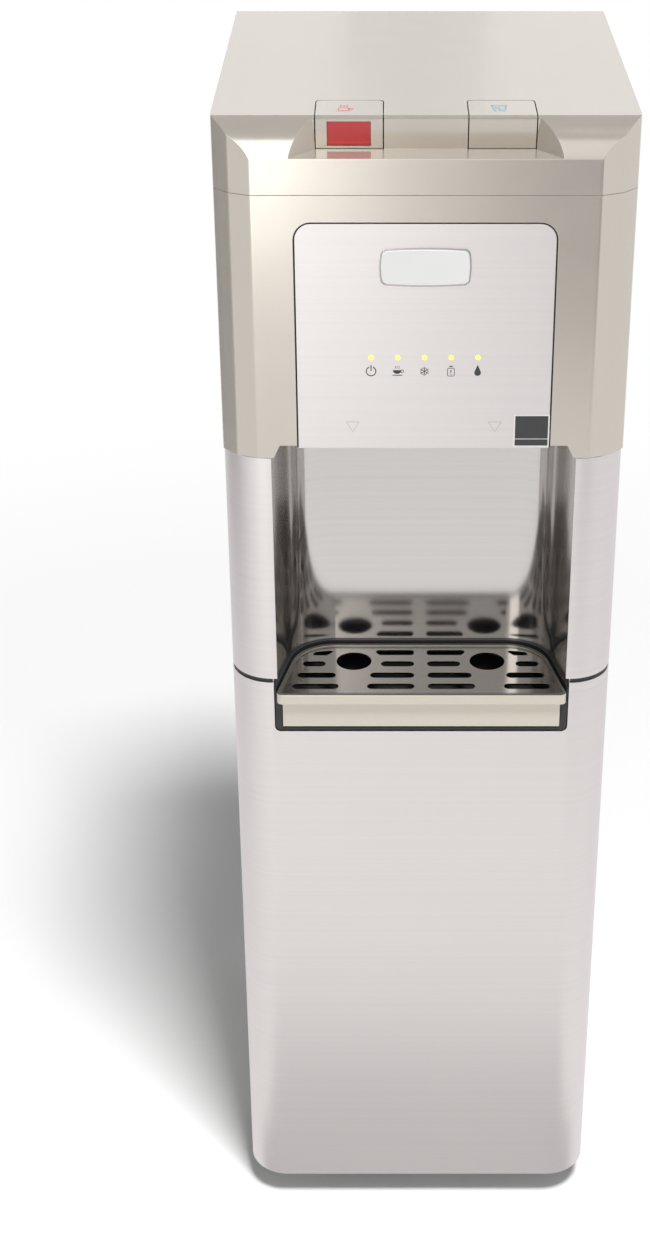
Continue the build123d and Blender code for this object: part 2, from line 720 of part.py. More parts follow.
def tray_well():
    """The black tub that the tray slides into, with the flange line over the door."""
    face = WELL_FACE
    tub = slab(alcove_plan(WELL_WALL), NOTCH_BOTTOM, PILLAR_BOTTOM)
    tub = behind(tub, face)
    rear = ALCOVE_REAR + 20
    below = front_slab(notch_face(-0.7), face, rear)
    below = below & block(-HALF, HALF, face, rear, NOTCH_BOTTOM, DOOR_TOP + SEAT)
    above = block(-HALF, HALF, face, rear, DOOR_TOP + SEAT, PILLAR_BOTTOM)
    tub = tub & (below + above)
    flange = slab(rounded_plan(face, ALCOVE_REAR + 12), DOOR_TOP + SEAT, PILLAR_BOTTOM)
    tub = tub + flange
    tub = tub - upright(PIVOT_X, PIVOT_DEPTH, DOOR_TOP, PILLAR_BOTTOM + 1, HINGE_PIN_R + PIN_FIT)
    tub = tub - slab(alcove_plan(LINER_SHEET + 0.2), LEDGE, PILLAR_BOTTOM + 1)
    tub = tub - slab(alcove_plan(WELL_GAP - TRAY_REVEAL), RIM_FOOT - SEAT, PILLAR_BOTTOM + 1)
    return tub - slab(alcove_plan(WELL_GAP - TRAY_REVEAL - TRAY_STEP), TRAY_BOTTOM - WALL, RIM_FOOT)


def drip_tray():
    """The basin: a proud rim, a stepped body under it, and a ledge that carries the grille."""
    rim = slab(tray_plan(0), RIM_FOOT, TRAY_TOP)
    rim = fillet(rim.edges().group_by(Axis.Z)[-1], 1.2)
    body = slab(tray_plan(-TRAY_STEP), TRAY_BOTTOM, RIM_FOOT)
    grille_seat = TRAY_TOP - GRILLE_DROP - GRILLE_THICK
    seat = slab(tray_plan(-GRILLE_REVEAL), grille_seat, TRAY_TOP + 1)
    basin = slab(tray_plan(-TRAY_STEP - TRAY_WALL), TRAY_BOTTOM + TRAY_WALL, TRAY_TOP)
    return rim + body - seat - basin


def stadium(x0, x1, depth, width=SLOT):
    """A round-ended slot from x0 to x1 at a depth, for the grille."""
    return Pos((x0 + x1) / 2, at(depth)) * SlotOverall(abs(x1 - x0), width)


def grille_slots(side):
    """One half of the grille's openings: the drain under a spout and four rows of slots."""
    holes = Pos(SPOUT_X, at(SPOUT_DEPTH)) * Circle(DRAIN_R)
    for depth, inside, outside, margin in (
        (10.2, 11.2, 12.2, 15.0),
        (28.2, 13.6, 14.9, 18.6),
        (46.9, 22.5, 23.7, 22.3),
    ):
        holes = holes + stadium(SPINE, SPOUT_X - inside, depth)
        holes = holes + stadium(SPOUT_X + outside, ALCOVE_HALF - margin, depth)
    corner = SPOUT_X - 21
    inner = Polyline((SPINE, at(61.5)), (corner, at(61.5)), (corner + 5, at(70)), (SPINE, at(70)), close=True)
    inner_rear = make_face(inner)
    holes = holes + fillet(inner_rear.vertices(), 3.0)
    outer = [(SPOUT_X + 23, at(61)), (ALCOVE_HALF - 29, at(61))]
    outer += [(ALCOVE_HALF - 32.5, at(67)), (SPOUT_X + 15, at(70))]
    outer_rear = make_face(Polyline(*outer, close=True))
    holes = holes + fillet(outer_rear.vertices(), 2.0)
    return holes if side > 0 else mirror(holes, about=Plane.YZ)


def drip_grille():
    """The polished grille plate with its drains and slots."""
    top = TRAY_TOP - GRILLE_DROP
    plate = slab(tray_plan(-GRILLE_REVEAL - SEAT), top - GRILLE_THICK, top)
    for side in (-1, 1):
        plate = plate - slab(grille_slots(side), TRAY_TOP - 10, TRAY_TOP + 5)
    return plate


# ---- door ----------------------------------------------------------------------------------
def door_skin():
    """The stainless wrap: front, rounded corners and side returns, notched for the tray."""
    outer = slab(rounded_plan(0, SKIN_RETURN), DOOR_BOTTOM, DOOR_TOP)
    inner = slab(rounded_plan(DOOR_SKIN, DOOR_DEPTH + 20), DOOR_BOTTOM - 5, DOOR_TOP + 5)
    skin = outer - inner
    return skin - front_slab(notch_face(0), -5, DOOR_DEPTH + 5)


def door_core():
    """The door's moulded inner pan: a plate with a rim and a boss at the lower pivot."""
    gap = DOOR_SKIN + CORE_GAP
    rear = DOOR_DEPTH - 0.5
    low = DOOR_BOTTOM + CORE_GAP
    high = NOTCH_BOTTOM - EAR_SEAM
    core = slab(rounded_plan(gap, rear), low, high)
    core = fillet(core.edges().filter_by(Axis.Z).group_by(Axis.Y)[-1], 4.0)
    hollow = slab(rounded_plan(gap + WALL, rear - WALL), low + WALL, high - WALL)
    dished = block(-HALF + 22, HALF - 22, rear - 8, rear + 1, low + 24, high - 24)
    rim = block(-HALF + 19.5, HALF - 19.5, rear - 10.5, rear - WALL + 0.5, low + 21.5, high - 21.5)
    core = core - (hollow - rim) - dished
    core = core + upright(PIVOT_X, PIVOT_DEPTH, low, low + BUSH_LONG + 10, BUSH_R + 3)
    core = core & slab(rounded_plan(gap, DOOR_DEPTH), low, high)
    return core - upright(PIVOT_X, PIVOT_DEPTH, low - 1, low + BUSH_LONG + 0.5, BUSH_R + PIN_FIT)


def door_ears():
    """The end caps that fill the skin's two shoulders, the right one with the upper pivot's bore."""
    low = NOTCH_BOTTOM - EAR_SEAM
    high = DOOR_TOP - CORE_GAP
    shoulders = slab(rounded_plan(DOOR_SKIN + CORE_GAP, DOOR_DEPTH), low, high)
    shoulders = shoulders & block(-HALF, HALF, 0, PIVOT_DEPTH + EAR_REACH, low, high)
    notch = NOTCH_HALF + EAR_INSET
    ears = shoulders - block(-notch, notch, -1, DOOR_DEPTH, low - 1, high + 1)
    for side in (-1, 1):
        corner = block(side * notch, side * PIVOT_X, PIVOT_DEPTH, DOOR_DEPTH, low - 1, high + 1)
        ears = ears - (corner - upright(side * PIVOT_X, PIVOT_DEPTH, low - 2, high + 2, PIVOT_X - notch))
    return ears - upright(PIVOT_X, PIVOT_DEPTH, high - BUSH_LONG - 0.5, high + 1, BUSH_R + PIN_FIT)


def door_bushes():
    """The nylon bushes pressed into the door's pivot bosses."""
    low = DOOR_BOTTOM + CORE_GAP
    high = DOOR_TOP - CORE_GAP
    lower = upright(PIVOT_X, PIVOT_DEPTH, low, low + BUSH_LONG, BUSH_R)
    upper = upright(PIVOT_X, PIVOT_DEPTH, high - BUSH_LONG, high, BUSH_R)
    bore = upright(PIVOT_X, PIVOT_DEPTH, DOOR_BOTTOM - 1, DOOR_BOTTOM + HINGE_PIN_LONG + 1, HINGE_PIN_R + RUN)
    top_bore = upright(PIVOT_X, PIVOT_DEPTH, DOOR_TOP - HINGE_PIN_LONG - 1, DOOR_TOP + 1, HINGE_PIN_R + RUN)
    return (lower - bore) + (upper - top_bore)


def hinge_upper():
    """The upper pin, hung through the flange line from a plate that rests on it."""
    top = PILLAR_BOTTOM + HINGE_PLATE
    plate = block(PIVOT_X - 14, PIVOT_X + 4, PIVOT_DEPTH - 6, FRONT_DEPTH, PILLAR_BOTTOM, top)
    plate = fillet(plate.edges().filter_by(Axis.Z), 3)
    return plate + upright(PIVOT_X, PIVOT_DEPTH, DOOR_TOP - HINGE_PIN_LONG, PILLAR_BOTTOM + 1, HINGE_PIN_R)


def hinge_lower():
    """The bracket on the base pan with the door's lower pin and its washer."""
    top = DOOR_BOTTOM - 1.2
    plate = block(PIVOT_X - 12, PIVOT_X + 9, PIVOT_DEPTH - 8, FRONT_DEPTH + 8, top - HINGE_PLATE, top)
    plate = plate & slab(rounded_plan(4.0, FRONT_DEPTH + 10), top - HINGE_PLATE, top)
    foot_depth = FRONT_DEPTH + 3.5
    foot = block(PIVOT_X - 12, PIVOT_X + 9, foot_depth, foot_depth + 3, PAN_FLOOR, top - HINGE_PLATE + 0.1)
    washer = upright(PIVOT_X, PIVOT_DEPTH, top, DOOR_BOTTOM - 0.1, 6.0)
    pin = upright(PIVOT_X, PIVOT_DEPTH, top - 0.1, DOOR_BOTTOM + HINGE_PIN_LONG, HINGE_PIN_R)
    return plate + foot + washer + pin


def door_hinges():
    """Both hinges: neither turns with the door."""
    return hinge_upper() + hinge_lower()


# ---- cabinet -------------------------------------------------------------------------------
def side_panel(side):
    """A folded side: the outer wall with a jamb in front and a lip behind."""
    low = FOOT_HEIGHT + 2
    high = COVER_SEAM - SEAT
    edge = side * HALF
    front = (FRONT_DEPTH, FRONT_DEPTH + SHEET)
    wall = block(side * (HALF - SHEET), edge, FRONT_DEPTH, CABINET_DEPTH, low, high)
    jamb = block(side * (HALF - JAMB), edge, *front, low, DOOR_TOP - 0.5)
    upper = block(side * (HALF - JAMB), edge, *front, PILLAR_BOTTOM + SEAT, high)
    lip = block(side * (HALF - REAR_LIP), edge, BACK_FACE, CABINET_DEPTH, low, high)
    way = (side * (HALF - JAMB - 1), side * (HALF - 2), FRONT_DEPTH - 1, FRONT_DEPTH + 2)
    hinge_way = block(*way, DOOR_BOTTOM - 1.2 - HINGE_PLATE - SEAT, DOOR_BOTTOM)
    panel = wall + jamb + upper + lip - hinge_way
    corner = [e for e in panel.edges().filter_by(Axis.Z) if abs(abs(e.center().X) - HALF) < 0.01]
    return fillet(corner, 0.9)


def base_pan():
    """The folded floor of the cabinet, set back behind the door, with a turned-up edge."""
    x = HALF - SHEET - 0.2
    outer = block(-x, x, FRONT_DEPTH + 2, BACK_FACE - 1.5, FOOT_HEIGHT, FOOT_HEIGHT + 22)
    outer = fillet(outer.edges().filter_by(Axis.Z), 3)
    inner = block(-x + 1.2, x - 1.2, FRONT_DEPTH + 3.2, BACK_FACE - 2.7, PAN_FLOOR, FOOT_HEIGHT + 30)
    mouth = block(-x + 14, x - 14, FRONT_DEPTH, FRONT_DEPTH + 5, PAN_FLOOR + 6, FOOT_HEIGHT + 30)
    way = (PIVOT_X - 13, PIVOT_X + 10, FRONT_DEPTH, FRONT_DEPTH + 5)
    slot = block(*way, DOOR_BOTTOM - 1.4 - HINGE_PLATE, DOOR_BOTTOM + 32)
    return outer - inner - mouth - slot


def feet():
    """Four round levelling feet under the pan."""
    feet = []
    for x in (-HALF + 28, HALF - 28):
        for depth in (FRONT_DEPTH + 26, CABINET_DEPTH - 30):
            pad = Pos(x, at(depth), 3) * Cylinder(15, 6)
            pad = chamfer(pad.edges().group_by(Axis.Z)[0], 1.2)
            feet.append(pad + upright(x, depth, 5.9, FOOT_HEIGHT, 8))
    return Compound(children=[foot.solid() for foot in feet])


def bottle_platform():
    """The moulded floor that the bottle stands on: a plate on ribs with a low guide rim behind."""
    x = HALF - SHEET - 2.5
    d0 = FRONT_DEPTH + 12
    d1 = BACK_FACE - 4
    plate = block(-x, x, d0, d1, PAN_FLOOR, PLATFORM_TOP)
    plate = fillet(plate.edges().filter_by(Axis.Z), 10)
    hollow = block(-x + WALL, x - WALL, d0 + WALL, d1 - WALL, PAN_FLOOR - 1, PLATFORM_TOP - WALL)
    hollow = fillet(hollow.edges().filter_by(Axis.Z), 8)
    ribs = [block(-x + 1, x - 1, d - 1, d + 1, PAN_FLOOR, PLATFORM_TOP - 1) for d in (120.0, 190.0, 260.0)]
    ribs += [block(rx - 1, rx + 1, d0 + 1, d1 - 1, PAN_FLOOR, PLATFORM_TOP - 1) for rx in (-75.0, 0.0, 75.0)]
    platform = plate - hollow
    for rib in ribs:
        platform = platform + rib
    centre = Pos(0, at(BOTTLE_DEPTH))
    ring = slab(centre * Circle(BOTTLE_R + 6.0), PLATFORM_TOP - 0.5, PLATFORM_TOP + 8)
    ring = ring - slab(centre * Circle(BOTTLE_R + 3.0), PLATFORM_TOP - 1, PLATFORM_TOP + 9)
    return platform + (ring & block(-x, x, BOTTLE_DEPTH + 40, d1, PLATFORM_TOP - 0.5, PLATFORM_TOP + 8))


def folded_shelf(top, d0, d1, drop):
    """A steel shelf with its four edges turned down."""
    x = HALF - SHEET - 0.2
    outer = block(-x, x, d0, d1, top - drop, top)
    outer = fillet(outer.edges().filter_by(Axis.Z), 3)
    inner = block(-x + 1.2, x - 1.2, d0 + 1.2, d1 - 1.2, top - drop - 1, top - 1.2)
    return outer - inner


def deck():
    """The steel deck over the bottle, with the holes for the probe's hose and the pump's hose."""
    plate = folded_shelf(DECK_TOP, ALCOVE_REAR + 16, BACK_FACE - SHEET - 0.2, 12)
    plate = plate - upright(PROBE_X, PROBE_DEPTH, DECK_TOP - 20, DECK_TOP + 5, HOSE_R + 3.0)
    return plate


def tank_shelf():
    """The steel shelf that the two tanks stand on."""
    shelf = folded_shelf(SHELF_TOP, ALCOVE_REAR + 6, BACK_FACE - SHEET - 0.2, 10)
    return shelf - upright(RISER_X, RISER_DEPTH, SHELF_TOP - 5, SHELF_TOP + 5, HOSE_R + 2)


def back_panel():
    """The rear sheet, inside the side panels' lips, with its louvres and its outlets."""
    x = HALF - SHEET - 0.5
    panel = block(-x, x, BACK_FACE - SHEET, BACK_FACE, FOOT_HEIGHT + 3, COVER_SEAM - 1)
    for row in range(LOUVRE_COUNT):
        slot = Pos(LOUVRE_X, LOUVRE_LOW + LOUVRE_PITCH * row) * SlotOverall(150, 4)
        panel = panel - front_slab(slot, BACK_FACE - 3, BACK_FACE + 3)
    panel = panel - bar_y(GLAND_X, BACK_FACE - 5, BACK_FACE + 5, GLAND_Z, GLAND_NECK + PIN_FIT)
    panel = panel - bar_y(HOT_X, BACK_FACE - 5, BACK_FACE + 5, DRAIN_Z, 8.0)
    for x in SWITCH_X:
        panel = panel - block(x - 7, x + 7, BACK_FACE - 5, BACK_FACE + 5, SWITCH_Z - 11, SWITCH_Z + 11)
    panel = panel - bar_y(-PASS_X, BACK_FACE - 5, BACK_FACE + 5, COIL_TOP, TUBE_R + 1)
    panel = panel - bar_y(PASS_X, BACK_FACE - 5, BACK_FACE + 5, CAPILLARY_Z, CAPILLARY_R + 1)
    return panel


# ---- bottle probe and water parts ----------------------------------------------------------
def tube(points, radius, bend, bore=0.0):
    """A round tube along straight runs joined by bends; points are (x, depth, z)."""
    spots = [Vector(x, at(d), z) for x, d, z in points]
    path = Line(spots[0], spots[1]) if len(spots) == 2 else FilletPolyline(*spots, radius=bend)
    start = Plane(origin=path @ 0, z_dir=path % 0)
    solid = sweep(start * Circle(radius), path=path)
    return solid - sweep(start * Circle(bore), path=path) if bore else solid


def bottle_probe():
    """The dip tube with its bottle collar, grip ribs and hose spigot."""
    z = HANGER_TOP
    top = z + COLLAR_HIGH
    stem = upright(PROBE_X, PROBE_DEPTH, PROBE_TIP, z + 5, PROBE_R)
    neck = upright(PROBE_X, PROBE_DEPTH, z - 10, z + 1, PROBE_R + 3)
    collar = upright(PROBE_X, PROBE_DEPTH, z, top, COLLAR_R)
    collar = fillet(collar.edges().group_by(Axis.Z)[-1], 4)
    spigot = upright(PROBE_X, PROBE_DEPTH, top - 1, top + SPIGOT, HOSE_R)
    bore = upright(PROBE_X, PROBE_DEPTH, PROBE_TIP - 1, top + SPIGOT + 1, PROBE_BORE)
    return stem + neck + collar + spigot - bore


def probe_hanger():
    """A bracket on the back panel with an open fork that the probe's collar rests on."""
    rear = BACK_FACE - SHEET
    fork = block(PROBE_X - 20, PROBE_X + 20, PROBE_DEPTH - 16, rear, HANGER_TOP - 3, HANGER_TOP)
    fork = fillet(fork.edges().filter_by(Axis.Z).group_by(Axis.Y)[0], 5)
    slot = block(PROBE_X - 9, PROBE_X + 9, PROBE_DEPTH - 17, PROBE_DEPTH, HANGER_TOP - 4, HANGER_TOP + 1)
    slot = slot + upright(PROBE_X, PROBE_DEPTH, HANGER_TOP - 4, HANGER_TOP + 1, 9)
    back = block(PROBE_X - 20, PROBE_X + 20, rear - 3, rear, HANGER_TOP - 25, HANGER_TOP - 1)
    return fork - slot + back


def probe_hose():
    """The soft hose from the probe's spigot up through the deck to its fitting."""
    low = HANGER_TOP + COLLAR_HIGH + SPIGOT
    return tube([(PROBE_X, PROBE_DEPTH, low), (PROBE_X, PROBE_DEPTH, DECK_TOP)], HOSE_R, 10, PROBE_BORE)


def pump():
    """The diaphragm pump: a round motor, a square head with an inlet behind and an outlet on top."""
    x, d, z = PUMP_X, PUMP_DEPTH, PUMP_HEIGHT
    motor = bar_y(x, d - 62, d - 2, z, 17)
    motor = fillet(motor.edges().group_by(Axis.Y)[0], 3)
    head = block(x - 22, x + 22, d - 2, d + 30, z - 22, z + 22)
    head = fillet(head.edges().filter_by(Axis.Y), 5)
    ports = bar_y(x, d + 29, d + 42, z, PORT_R) + upright(x, RISER_DEPTH, z + 21, z + 34, PORT_R)
    feet = block(x - 20, x + 20, d + 2, d + 12, DECK_TOP, z - 21)
    feet = feet + block(x - 20, x + 20, d - 58, d - 50, DECK_TOP, z - 12)
    return motor + head + ports + feet


def hose_fitting():
    """The screwed elbow on the deck that joins the probe's hose to the pump's suction hose."""
    base = upright(PROBE_X, PROBE_DEPTH, DECK_TOP, DECK_TOP + 6, 11.0)
    return base + upright(PROBE_X, PROBE_DEPTH, DECK_TOP + 6, DECK_TOP + 12, HOSE_R + 1)


def water_hoses():
    """Suction, riser, cold and hot hoses, each one round run with wide bends."""
    suction = [(PROBE_X, PROBE_DEPTH, DECK_TOP + 12), (PROBE_X, PROBE_DEPTH, PUMP_HEIGHT)]
    suction += [(PUMP_X, PROBE_DEPTH, PUMP_HEIGHT), (PUMP_X, PUMP_DEPTH + 42, PUMP_HEIGHT)]
    across = SHELF_TOP - 35
    over = SHELF_TOP + 210
    riser = [(PUMP_X, RISER_DEPTH, PUMP_HEIGHT + 34), (PUMP_X, RISER_DEPTH, across)]
    riser += [(RISER_X, RISER_DEPTH, across), (RISER_X, RISER_DEPTH, over)]
    riser += [(COLD_X, COLD_DEPTH, over), (COLD_X, COLD_DEPTH, SHELF_TOP + COLD_TANK_HIGH + 2 * FOAM + 1)]
    inlet = CEILING + WALL + 10
    near = SPOUT_DEPTH + 28
    cold = [(SPOUT_X, near, inlet), (SPOUT_X, COLD_DEPTH - COLD_TANK_R - FOAM, inlet)]
    hot_top = SHELF_TOP + HOT_LIFT + HOT_TANK_HIGH + OUTLET_LONG
    hot = [(HOT_X, HOT_DEPTH, hot_top), (HOT_X, HOT_DEPTH, hot_top + 34), (HOT_X, near + 41, hot_top + 34)]
    hot += [(-SPOUT_X, near + 41, inlet), (-SPOUT_X, near, inlet)]
    runs = [tube(suction, HOSE_R, 15), tube(riser, HOSE_R, 13), tube(cold, HOSE_R, 10), tube(hot, HOSE_R, 18)]
    return Compound(children=[run.solid() for run in runs])


def can(x, depth, z0, z1, radius, soft):
    """A closed can of thin sheet with rolled ends."""
    outer = upright(x, depth, z0, z1, radius)
    outer = fillet(outer.edges().filter_by(GeomType.CIRCLE), soft)
    inner = upright(x, depth, z0 + TANK_WALL, z1 - TANK_WALL, radius - TANK_WALL)
    return outer - fillet(inner.edges().filter_by(GeomType.CIRCLE), soft - TANK_WALL)


def cold_tank():
    """The stainless cold tank: a can with rolled ends and its inlet boss."""
    z = SHELF_TOP + FOAM
    top = z + COLD_TANK_HIGH
    tank = can(COLD_X, COLD_DEPTH, z, top, COLD_TANK_R, 10)
    return tank + upright(COLD_X, COLD_DEPTH, top - 0.5, top + FOAM + 1, 7.0)


def cold_foam():
    """The foam jacket in two halves, a tub and a lid, round the cold tank."""
    side = 2 * (COLD_TANK_R + FOAM)
    plan = Pos(COLD_X, at(COLD_DEPTH)) * RectangleRounded(side, side, 24)
    z = SHELF_TOP
    split = z + 110
    top = z + COLD_TANK_HIGH + 2 * FOAM
    inside = upright(COLD_X, COLD_DEPTH, z + FOAM - SEAT, top - FOAM + SEAT, COLD_TANK_R + SEAT)
    port = upright(COLD_X, COLD_DEPTH, top - FOAM - 2, top + 1, 7.0 + SEAT)
    tub = slab(plan, z, split) - inside
    lid = slab(plan, split, top) - inside - port
    return Compound(children=[tub.solid(), lid.solid()])


def hot_tank():
    """The stainless hot tank with its rolled ends, foot ring and outlet."""
    z = SHELF_TOP + HOT_LIFT
    top = z + HOT_TANK_HIGH
    tank = can(HOT_X, HOT_DEPTH, z, top, HOT_TANK_R, 12)
    ring = upright(HOT_X, HOT_DEPTH, SHELF_TOP, z + 0.5, 26) - upright(HOT_X, HOT_DEPTH, SHELF_TOP - 1, z, 24)
    return tank + ring + upright(HOT_X, HOT_DEPTH, top - 0.5, top + OUTLET_LONG, 5.0)


def hot_felt():
    """The felt sleeve round the hot tank, above the drain's tail."""
    z = DRAIN_Z + 7
    high = SHELF_TOP + HOT_LIFT + HOT_TANK_HIGH - 16
    sleeve = upright(HOT_X, HOT_DEPTH, z, high, HOT_TANK_R + FELT)
    return sleeve - upright(HOT_X, HOT_DEPTH, z - 1, high + 1, HOT_TANK_R + SEAT)


def compressor():
    """The sealed compressor: a domed pot with its weld flange, on a four-eared base plate."""
    low = DECK_TOP + POT_LIFT
    mid = low + POT_HIGH / 2
    pot = upright(POT_X, POT_DEPTH, low, low + POT_HIGH, POT_R)
    pot = fillet(pot.edges().group_by(Axis.Z)[-1], 34)
    pot = fillet(pot.edges().group_by(Axis.Z)[0], 22)
    flange = upright(POT_X, POT_DEPTH, mid - 2, mid + 2, POT_R + 3)
    plate = Pos(POT_X, at(POT_DEPTH)) * RectangleRounded(2 * EAR_X + 22, 2 * EAR_DEPTH + 22, 11)
    for sx in (-1, 1):
        for sd in (-1, 1):
            plate = plate - Pos(POT_X + sx * EAR_X, at(POT_DEPTH + sd * EAR_DEPTH)) * Circle(5.5)
    stub = upright(POT_X + 30, POT_DEPTH + 20, low + POT_HIGH - 25, low + POT_HIGH + 5, 4.0)
    return pot + flange + slab(plate, low - 3, low + 0.5) + stub


def compressor_mounts():
    """Four rubber grommets between the deck and the compressor's base plate."""
    mounts = []
    for sx in (-1, 1):
        for sd in (-1, 1):
            x, d = POT_X + sx * EAR_X, POT_DEPTH + sd * EAR_DEPTH
            grommet = upright(x, d, DECK_TOP, DECK_TOP + 12, 9)
            grommet = grommet + upright(x, d, DECK_TOP + 11, DECK_TOP + 18, 5.4)
            mounts.append(grommet)
    return Compound(children=[mount.solid() for mount in mounts])


def relay_cover():
    """The cover over the compressor's terminals."""
    rear = POT_DEPTH - POT_R - 3.3
    cover = block(POT_X - 24, POT_X + 24, rear - 26, rear, DECK_TOP + 40, DECK_TOP + 100)
    return fillet(cover.edges().filter_by(Axis.Y), 5)


# ---- refrigeration at the back -------------------------------------------------------------
def octagon(apothem):
    """An eight-sided section whose flats lie at the apothem."""
    return Rot(0, 0, 22.5) * RegularPolygon(apothem, 8, major_radius=False)


def condenser_tube():
    """The condenser's serpentine: level runs joined by half turns, with its inlet and outlet tails."""
    turn = COIL_PITCH / 2
    reach = COIL_HALF - turn
    y = at(COIL_DEPTH)
    edges = [Line((COIL_ENTRY, y, COIL_TOP), (reach, y, COIL_TOP))]
    for run in range(1, COIL_RUNS):
        side = 1 if run % 2 else -1
        z = COIL_TOP - COIL_PITCH * run
        bulge = (side * (reach + turn), y, z + turn)
        edges.append(ThreePointArc((side * reach, y, z + COIL_PITCH), bulge, (side * reach, y, z)))
        end = -side * reach if run < COIL_RUNS - 1 else -side * (-COIL_ENTRY)
        edges.append(Line((side * reach, y, z), (end, y, z)))
    path = Wire(edges)
    section = Plane(origin=path @ 0, x_dir=(0, 1, 0), z_dir=(1, 0, 0)) * octagon(TUBE_R)
    return sweep(section, path=path)


def condenser_wires():
    """The two combs of upright wires welded across the serpentine."""
    wires = []
    span = 2 * (COIL_HALF - COIL_PITCH / 2)
    for near in (COIL_DEPTH - TUBE_R - WIRE, COIL_DEPTH + TUBE_R):
        for i in range(WIRE_COUNT):
            x = span * (i / (WIRE_COUNT - 1) - 0.5)
            wires.append(block(x - WIRE / 2, x + WIRE / 2, near, near + WIRE, COIL_LOW - 12, COIL_TOP + 12))
    return Compound(children=[wire.solid() for wire in wires])


def condenser_brackets():
    """Four folded brackets that hold the condenser off the back panel."""
    front = COIL_DEPTH - TUBE_R - WIRE
    rear = BACK_FACE + BRACKET_SHEET
    brackets = []
    for x in (-BRACKET_X, BRACKET_X):
        for z in (COIL_LOW + 60.0, COIL_TOP - 60.0):
            fold = [(BACK_FACE, z - 10), (rear, z - 10), (rear, z), (front, z), (front, z + 12)]
            fold += [(front - BRACKET_SHEET, z + 12), (front - BRACKET_SHEET, z + BRACKET_SHEET)]
            fold += [(BACK_FACE, z + BRACKET_SHEET)]
            brackets.append(side_slab(fold, x - 14, x + 14))
    return Compound(children=[bracket.solid() for bracket in brackets])


def condenser():
    """The serpentine and its wires, as one welded piece."""
    return Compound(children=[condenser_tube().solid(), *condenser_wires().solids()])


def drier():
    """The copper filter drier: a capsule with a necked end at each side."""
    body = upright(PASS_X, DRIER_DEPTH, DRIER_LOW, DRIER_LOW + DRIER_LONG, DRIER_R)
    body = fillet(body.edges().filter_by(GeomType.CIRCLE), 5)
    return body + upright(PASS_X, DRIER_DEPTH, DRIER_LOW - 8, DRIER_LOW + DRIER_LONG + 8, TUBE_R + 0.5)


def refrigerant_lines():
    """Copper lines: compressor to condenser, condenser to drier, and the capillary back inside."""
    stub = (POT_X + 30, POT_DEPTH + 20, DECK_TOP + POT_LIFT + POT_HIGH + 5)
    over = stub[2] + 17
    way = BACK_FACE - 36
    discharge = [stub, (stub[0], stub[1], over), (-PASS_X, way, over), (-PASS_X, way, COIL_TOP)]
    discharge += [(-PASS_X, COIL_DEPTH, COIL_TOP), (COIL_ENTRY, COIL_DEPTH, COIL_TOP)]
    rise = [(-COIL_ENTRY, COIL_DEPTH, COIL_LOW), (PASS_X, COIL_DEPTH, COIL_LOW)]
    rise += [(PASS_X, COIL_DEPTH, DRIER_LOW - 60), (PASS_X, DRIER_DEPTH, DRIER_LOW - 30)]
    rise += [(PASS_X, DRIER_DEPTH, DRIER_LOW - 8)]
    above = DRIER_LOW + DRIER_LONG + 8
    capillary = [(PASS_X, DRIER_DEPTH, above), (PASS_X, DRIER_DEPTH, CAPILLARY_Z)]
    capillary += [(PASS_X, BACK_FACE - 20, CAPILLARY_Z)]
    return [tube(discharge, TUBE_R, 9), tube(rise, TUBE_R, 5), tube(capillary, CAPILLARY_R, 6)]


def drier_and_lines():
    """The drier with the copper lines brazed to it and to the compressor."""
    return Compound(children=[drier().solid(), *[line.solid() for line in refrigerant_lines()]])


# ---- electrical and drain parts on the back ------------------------------------------------
def rocker_pin(x, radius):
    """The stub pins that a rocker turns on, or with a larger radius their bores."""
    return bar_x(x - 6.6, x + 6.6, BACK_FACE + 0.5, SWITCH_Z, radius)


def switch_bodies():
    """The two rocker switches' housings, pushed through the back panel."""
    bodies = []
    for x in SWITCH_X:
        bezel = block(x - 9.5, x + 9.5, BACK_FACE, BACK_FACE + 2.2, SWITCH_Z - 13.5, SWITCH_Z + 13.5)
        bezel = chamfer(bezel.edges().group_by(Axis.Y)[-1], 0.8)
        case = block(x - 6.9, x + 6.9, BACK_FACE - 16, BACK_FACE + 0.1, SWITCH_Z - 10.9, SWITCH_Z + 10.9)
        well = block(x - 5.8, x + 5.8, BACK_FACE - 8, BACK_FACE + 5, SWITCH_Z - 10.0, SWITCH_Z + 10.0)
        bodies.append(bezel + case - well - rocker_pin(x, ROCKER_PIN_R + RUN))
    return Compound(children=[body.solid() for body in bodies])


def rocker(x):
    """A rocker: a shallow V-faced key on stub pins, tipped to its upper stop."""
    face = BACK_FACE + 1.5
    half = [(face - 6, 4.0), (face - 3, 8.8), (face + 1.8, 9.2)]
    upper = [(d, SWITCH_Z + z) for d, z in reversed(half)]
    lower = [(d, SWITCH_Z - z) for d, z in half]
    key = side_slab(lower + [(face + 0.6, SWITCH_Z)] + upper, x - 5.4, x + 5.4)
    tipped = key.rotate(Axis((0, at(BACK_FACE + 0.5), SWITCH_Z), (1, 0, 0)), ROCKER_TIP)
    return tipped + rocker_pin(x, ROCKER_PIN_R)


def drain_spigot():
    """The hot tank's drain: a tail through the back panel with a flange and a threaded end."""
    tank_side = HOT_DEPTH + HOT_TANK_R
    tail = bar_y(HOT_X, tank_side + SEAT, BACK_FACE + 12, DRAIN_Z, 5.0)
    flange = bar_y(HOT_X, BACK_FACE, BACK_FACE + 2.5, DRAIN_Z, 11.0)
    return tail + flange - bar_y(HOT_X, tank_side, BACK_FACE + 13, DRAIN_Z, 3.0)


